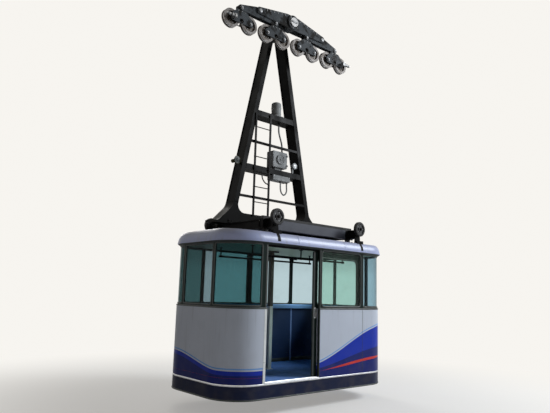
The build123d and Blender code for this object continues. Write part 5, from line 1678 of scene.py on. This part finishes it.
lid_screws = placed(on_circle(6, LID_SCREW_RING) + (LID_X, LID_Z), "xz", LID_FACE_Y)
box_screws = placed(signs(0.148, 0.125) + (box_x, box_z), "xz", BOX_FACE_Y - COVER_THICK)
junction_grid = np.concatenate([signs(0.190, 0.030), [(0, -0.030), (0, 0.030)]])
junction_screws = placed(junction_grid + (junction_x, junction_z), "xz", junction_face)
unit_feet = placed(signs(0.096, 0.096) + (unit_x, unit_y), "xy", UNIT_FOOT_Z)
screws = np.concatenate([lid_screws, box_screws, junction_screws])
screw_sets = joined([bolts(screws, FORWARD, 0.006), bolts(unit_feet, UP, 0.010)])
piece("hanger_box_screws", *screw_sets, zinc, "cabin", "bright_steel")
print("box screws:", len(screws) + len(unit_feet))

# %% [markdown]
# ## Cable glands
# Each cable enters its box through a screwed gland: a nut and a rubber cone. Their profiles are worked out
# from the cable's radius, so one table of places and cables makes all six.

# %% Glands
LADDER_LOOP_START, BOX_LOOP_START = (-0.290, 0.345, -2.334), (0.168, 0.345, -2.434)
# Columns: place, direction out of the box, radius of the cable.
glands = [
    ((0.2763, 0.450, -1.860), UP, 0.0160),
    ((0.179, 0.450, -1.282), DOWN, 0.0160),
    (BOX_LOOP_START, DOWN, 0.0135),
    ((0.324, 0.345, -2.434), DOWN, 0.0135),
    (LADDER_LOOP_START, DOWN, 0.0115),
    ((-0.163, 0.315, -2.546), (-1, 0, 0), 0.0100),
]
gland_sets = []
for place, direction, cable in glands:
    bore = cable + 0.0002
    nut = [(-0.002, cable + 0.0005), (-0.002, cable * 1.8), (cable, cable * 1.8), (cable, cable + 0.0005)]
    cone = [(cable, bore), (cable, cable * 1.5), (cable * 2.0, cable * 1.35), (cable * 2.4, cable * 1.06)]
    cone += [(cable * 2.4, bore)]
    gland_sets += [turned(nut, place, direction, 6), turned(cone, place, direction, 20)]
piece("cable_glands", *joined(gland_sets), mount_rubber, "cabin", "mount_rubber")
print("glands:", len(glands))

# %% [markdown]
# ## Ribbed hoses
# The two hanging loops run in ribbed hose, which follows the corners of the cable inside, rounded by
# parabolas. A curve object with a bevel would make a plain tube. Here the path is an array, so the ribs
# cost only a sine on the radius.

# %% Ribbed hoses
def rounded_path(corners, share=0.45, steps=7):
    """A path of straight runs whose corners are parabola arcs. An arc takes a share of its shorter run."""
    corners = np.asarray(corners, float)
    runs = np.diff(corners, axis=0)
    lengths = np.linalg.norm(runs, axis=1)
    u = np.linspace(0, 1, steps)[:, None]
    path = [corners[:1]]
    for k in range(1, len(corners) - 1):
        reach = share * min(lengths[k - 1], lengths[k])
        start = corners[k] - reach * runs[k - 1] / lengths[k - 1]
        end = corners[k] + reach * runs[k] / lengths[k]
        path.append((1 - u) ** 2 * start + 2 * u * (1 - u) * corners[k] + u ** 2 * end)
    return np.concatenate(path + [corners[-1:]])


def ribbed_hose(corners, radius, pitch=0.008, depth=0.07, around=12):
    """A hose round a path. Its radius swells and shrinks once a pitch, as on a flexible metal conduit."""
    path = rounded_path(corners)
    marks = np.concatenate([[0], np.cumsum(np.linalg.norm(np.diff(path, axis=0), axis=1))])
    s = np.arange(0, marks[-1], pitch / 4)
    middle = np.stack([np.interp(s, marks, path[:, k]) for k in range(3)], -1)
    along = np.gradient(middle, axis=0)
    along /= np.linalg.norm(along, axis=1)[:, None]
    aside = np.cross(along, (0, 1, 0))
    aside /= np.linalg.norm(aside, axis=1)[:, None]
    across = np.cross(aside, along)
    spokes = on_circle(around, 1.0)
    fan = spokes[:, :1] * aside[:, None] + spokes[:, 1:] * across[:, None]
    swell = radius * (1 + depth * np.sin(s / pitch * 2 * math.pi))
    return bead(middle[:, None] + swell[:, None, None] * fan)


def hanging(start, rows):
    """Corners of a hanging loop. Rows are x past the start, share of the way forward to the ladder, drop."""
    x, forward_share, drop = np.array(rows, float).T
    return np.stack([start[0] + x, start[1] - 0.030 * forward_share, start[2] - drop], -1)


ladder_hose = hanging(LADDER_LOOP_START, [
    (0, 0, 0), (0, 0, 0.070), (0.012, 0.3, 0.130), (0.040, 0.7, 0.180),
    (0.082, 1, 0.212), (0.120, 1, 0.212),
])
box_hose = hanging(BOX_LOOP_START, [
    (0, 0, 0), (0, 0, 0.075), (-0.006, 0.3, 0.150), (0.012, 0.5, 0.222), (0.070, 0.5, 0.266),
    (0.128, 0.5, 0.230), (0.158, 0.3, 0.155), (0.156, 0, 0.078), (0.156, 0, 0),
])
piece("ladder_loop_hose", *ribbed_hose(ladder_hose, 0.0115), cable_sheath, "cabin", "cable_sheath", 80)
piece("box_loop_hose", *ribbed_hose(box_hose, 0.0135), fitting_grey, "cabin", "fitting_grey", 80)
print("hoses hung")

# %% [markdown]
# ## Lamp and horn
# The lamp gets a bezel and a domed lens with moulded rings. The horn's mouth is a dark cone behind a rolled
# rim. All four are turned round the axis that looks forward, and each starts a hair behind the face that it
# sits on.

# %% Lamp and horn
BEZEL = [(-0.012, 0.057), (-0.012, 0.0605), (0.002, 0.0615), (0.006, 0.059), (0.006, 0.051), (-0.001, 0.050)]
LENS = [(-0.001, 0.0515), (0.003, 0.048), (0.007, 0.038), (0.010, 0.024), (0.0112, 0.010), (0.0114, 0)]
HORN_RIM = [(-0.006, 0.066), (-0.006, 0.072), (0, 0.0745), (0.006, 0.072), (0.006, 0.066), (0.001, 0.063)]
THROAT = [(0.0010, 0.0640), (0.0018, 0.030), (0.0100, 0.018), (0.0120, 0.008), (0.0125, 0)]
LAMP_X, LAMP_Z, HORN_X, HORN_Z = 0.460, -2.100, -0.840, -2.200
lamp_front = (LAMP_X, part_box("hanger_lamp")[0].y, LAMP_Z)
horn_mouth = (HORN_X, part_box("hanger_horn")[0].y, HORN_Z)
piece("lamp_bezel", *turned(BEZEL, lamp_front, FORWARD, 40), fitting_grey, "cabin", "fitting_grey")
piece("lamp_lens", *turned(LENS, lamp_front, FORWARD, 40), pale_lens, "cabin", "fitting_grey")
piece("horn_rim", *turned(HORN_RIM, horn_mouth, FORWARD, 36), horn_olive, "cabin", "fitting_grey")
piece("horn_throat", *turned(THROAT, horn_mouth, FORWARD, 36), seal_rubber, "cabin", "mount_rubber")
print("lamp and horn finished")

# %% [markdown]
# ## The head and the pin
# The carriage carries the hanger on one thick pin. The head round it is bolted on both sides, a keeper
# plate locks the pin at each end, and a grease nipple stands on top.

# %% Head and pin
HEAD_BOLT_RING, KEEPER_BOLT_X = 0.128, 0.055
NIPPLE = [(-0.002, 0), (-0.002, 0.009), (0.006, 0.009), (0.006, 0.005)]
NIPPLE += [(0.016, 0.004), (0.020, 0.0055), (0.024, 0)]
near_pin_y, far_pin_y = (corner.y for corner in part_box("hanger_pin"))
keeper = rounded(0, PIN_Z, 0.150, 0.036, 0.012)


def keeper_set(end_y, side):
    """The keeper plate at one end of the pin, and its two bolts."""
    outer_y = end_y + side * PLATE
    pair = [(x, outer_y, PIN_Z) for x in (-KEEPER_BOLT_X, KEEPER_BOLT_X)]
    return [slab(keeper, "xz", end_y - side * BITE, outer_y), bolts(pair, (0, side, 0), 0.009)]


head_ring = on_circle(8, HEAD_BOLT_RING, math.pi / 8) + (0, PIN_Z)
head_sets = [bolts(placed(head_ring, "xz", HANGER_FRONT_Y), FORWARD, 0.010)]
head_sets.append(bolts(placed(head_ring, "xz", HANGER_BACK_Y), BACKWARD, 0.010))
head_sets.append(turned(NIPPLE, (0, (HANGER_FRONT_Y + HANGER_BACK_Y) / 2, PIN_Z + HEAD_R), UP, 12))
piece("head_bolts", *joined(head_sets + keeper_set(far_pin_y, 1)), zinc, "cabin", "bright_steel")
print("head bolted")

# %% [markdown]
# ## The carriage
# The carriage spreads the load over eight rollers by rockers and bogies. Every pin in it ends in a nut or a
# cap, each with a raised boss round it. The same few pitches that place the pins place all of these, on
# both sides.

# %% Nuts, caps and bolts
ROCKER_Z, BOGIE_Z = 0.495, 0.405
ROCKER_XS = np.array([-2, 2]) * ROLLER_PITCH
BOGIE_XS = np.array([-3, -1, 1, 3]) * ROLLER_PITCH
ROLLER_XS = np.arange(-3.5, 4) * ROLLER_PITCH
HUB_FACE_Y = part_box("carriage_main_beam")[1].y
BEAM_FACE_Y, BOGIE_FACE_Y = 0.076, 0.062
ROLLER_PIN_Y, BOGIE_PIN_Y, ROCKER_PIN_Y = 0.072, 0.056, 0.084
HUB_BOLT_RING, PLATE_BOLT_PITCH, PLATE_BOLT_Z = 0.112, 0.075, 0.318
SLOPE, SLOPE_FROM_X, EDGE_INSET = 0.186, 0.135, 0.032
CAP = [(-0.004, 0), (-0.004, 1.0), (0.12, 1.0), (0.30, 0.78), (0.34, 0.40), (0.35, 0)]

# A row of bolts follows the sloped upper edge of the main beam.
beam_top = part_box("carriage_main_beam")[1].z
edge_x = np.array([0.20, 0.29, 0.38, 0.47, 0.56, 0.64])
edge_z = beam_top - SLOPE * (edge_x - SLOPE_FROM_X) - EDGE_INSET

hardware = keeper_set(near_pin_y, -1) + [turned(NIPPLE, (0, 0, beam_top), UP, 12)]
hub_ring = on_circle(6, HUB_BOLT_RING, 0.3) + (0, PIN_Z)
plate_bolt_x = (BOGIE_XS[:, None] + (-PLATE_BOLT_PITCH, 0, PLATE_BOLT_PITCH)).ravel()
for side in (-1, 1):
    out = (0, side, 0)
    hardware.append(bolts([(x, side * ROLLER_PIN_Y, ROLLER_Z) for x in ROLLER_XS], out, 0.021))
    hardware.append(bolts([(x, side * BOGIE_PIN_Y, BOGIE_Z) for x in BOGIE_XS], out, 0.024))
    rocker_ends = [(x, side * ROCKER_PIN_Y, ROCKER_Z) for x in ROCKER_XS]
    hardware.append(many(CAP, rocker_ends, out, 0.040, 24))
    hardware.append(bolts(placed(hub_ring, "xz", side * HUB_FACE_Y), out, 0.010))
    for mirror in (-1, 1):
        edge_row = np.stack([mirror * edge_x, edge_z], -1)
        hardware.append(bolts(placed(edge_row, "xz", side * BEAM_FACE_Y), out, 0.009))
    plate_bolts = [(x, side * BOGIE_FACE_Y, PLATE_BOLT_Z) for x in plate_bolt_x]
    hardware.append(bolts(plate_bolts, out, 0.008))
piece("carriage_hardware", *joined(hardware), zinc, "carriage", "bright_steel")
print("carriage hardware:", len(hardware), "sets")

# %% [markdown]
# ## Bosses and rope sockets
# A boss is a round plate that thickens the steel round a pin. The hauling rope is held in tapered sockets,
# and their clamps are turned hoops whose radius shrinks with the taper.

# %% Bosses and rope sockets
SOCKET_X, SOCKET_Y, SOCKET_R, SOCKET_LENGTH = 1.390, -0.122, 0.034, 0.180
SOCKET_TAPER = math.tan(math.radians(5))
ROCKER_BOSS_YS, ROLLER_BOSS_YS = (0.0755, 0.082), (0.0615, 0.0675)
CLAMP_BOLT, CLAMP_FACE = 0.018, 0.030
ROCKER_BOSS = on_circle(28, 0.058, radius_up=0.055)
ROLLER_BOSS = on_circle(20, 0.038)
HOOP_AT = (0.12, 0.45, 0.80)
HOOP_LOW = [(-0.009, -0.003), (-0.009, 0.0045), (-0.006, 0.006)]
HOOP_HIGH = [(0.006, 0.005), (0.009, 0.0035), (0.009, -0.004)]

bosses = []
for x in ROCKER_XS:
    rocker_boss = ROCKER_BOSS + (x, ROCKER_Z)
    bosses += [slab(rocker_boss, "xz", *np.multiply(side, ROCKER_BOSS_YS)) for side in (-1, 1)]
for bogie in range(4):
    for side in (-1, 1):
        for x in ROLLER_XS[2 * bogie:2 * bogie + 2]:
            roller_boss = ROLLER_BOSS + (x, ROLLER_Z)
            bosses.append(slab(roller_boss, "xz", *np.multiply(side, ROLLER_BOSS_YS)))
piece("pin_bosses", *joined(bosses), carriage_grey, "carriage", "carriage_paint")

clamps = []
for side in (-1, 1):
    for along in np.multiply(HOOP_AT, SOCKET_LENGTH):
        hoop = np.array(HOOP_LOW + HOOP_HIGH) + (0, SOCKET_R - SOCKET_TAPER * along)
        clamps.append(turned(hoop, (side * (SOCKET_X + along), SOCKET_Y, ROLLER_Z), (side, 0, 0), 28))
    clamp_grid = signs(CLAMP_BOLT, CLAMP_BOLT) + (side * SOCKET_X, ROLLER_Z)
    clamp_bolts = placed(clamp_grid, "xz", SOCKET_Y - CLAMP_FACE)
    clamps.append(bolts(clamp_bolts, FORWARD, 0.006))
piece("socket_clamps", *joined(clamps), carriage_grey, "carriage", "carriage_paint")
print("bosses:", len(bosses), "clamps:", len(clamps))

# %% [markdown]
# ## Bolts of the rollers
# A hub is held to its web by six bolts on each face. The bolts of a roller are a piece of their own on that
# roller's body, because they turn with it.

# %% Roller bolts
ROLLER_BOLT_RING, ROLLER_WEB = 0.082, 0.012
for number, x in enumerate(ROLLER_XS, start=1):
    ring = on_circle(6, ROLLER_BOLT_RING) + (x, ROLLER_Z)
    faces = [bolts(placed(ring, "xz", side * ROLLER_WEB), (0, side, 0), 0.008) for side in (-1, 1)]
    piece(f"roller_{number}_bolts", *joined(faces), zinc, f"roller_{number}", "bright_steel")
print("carriage finished:", len(ROLLER_XS), "rollers")
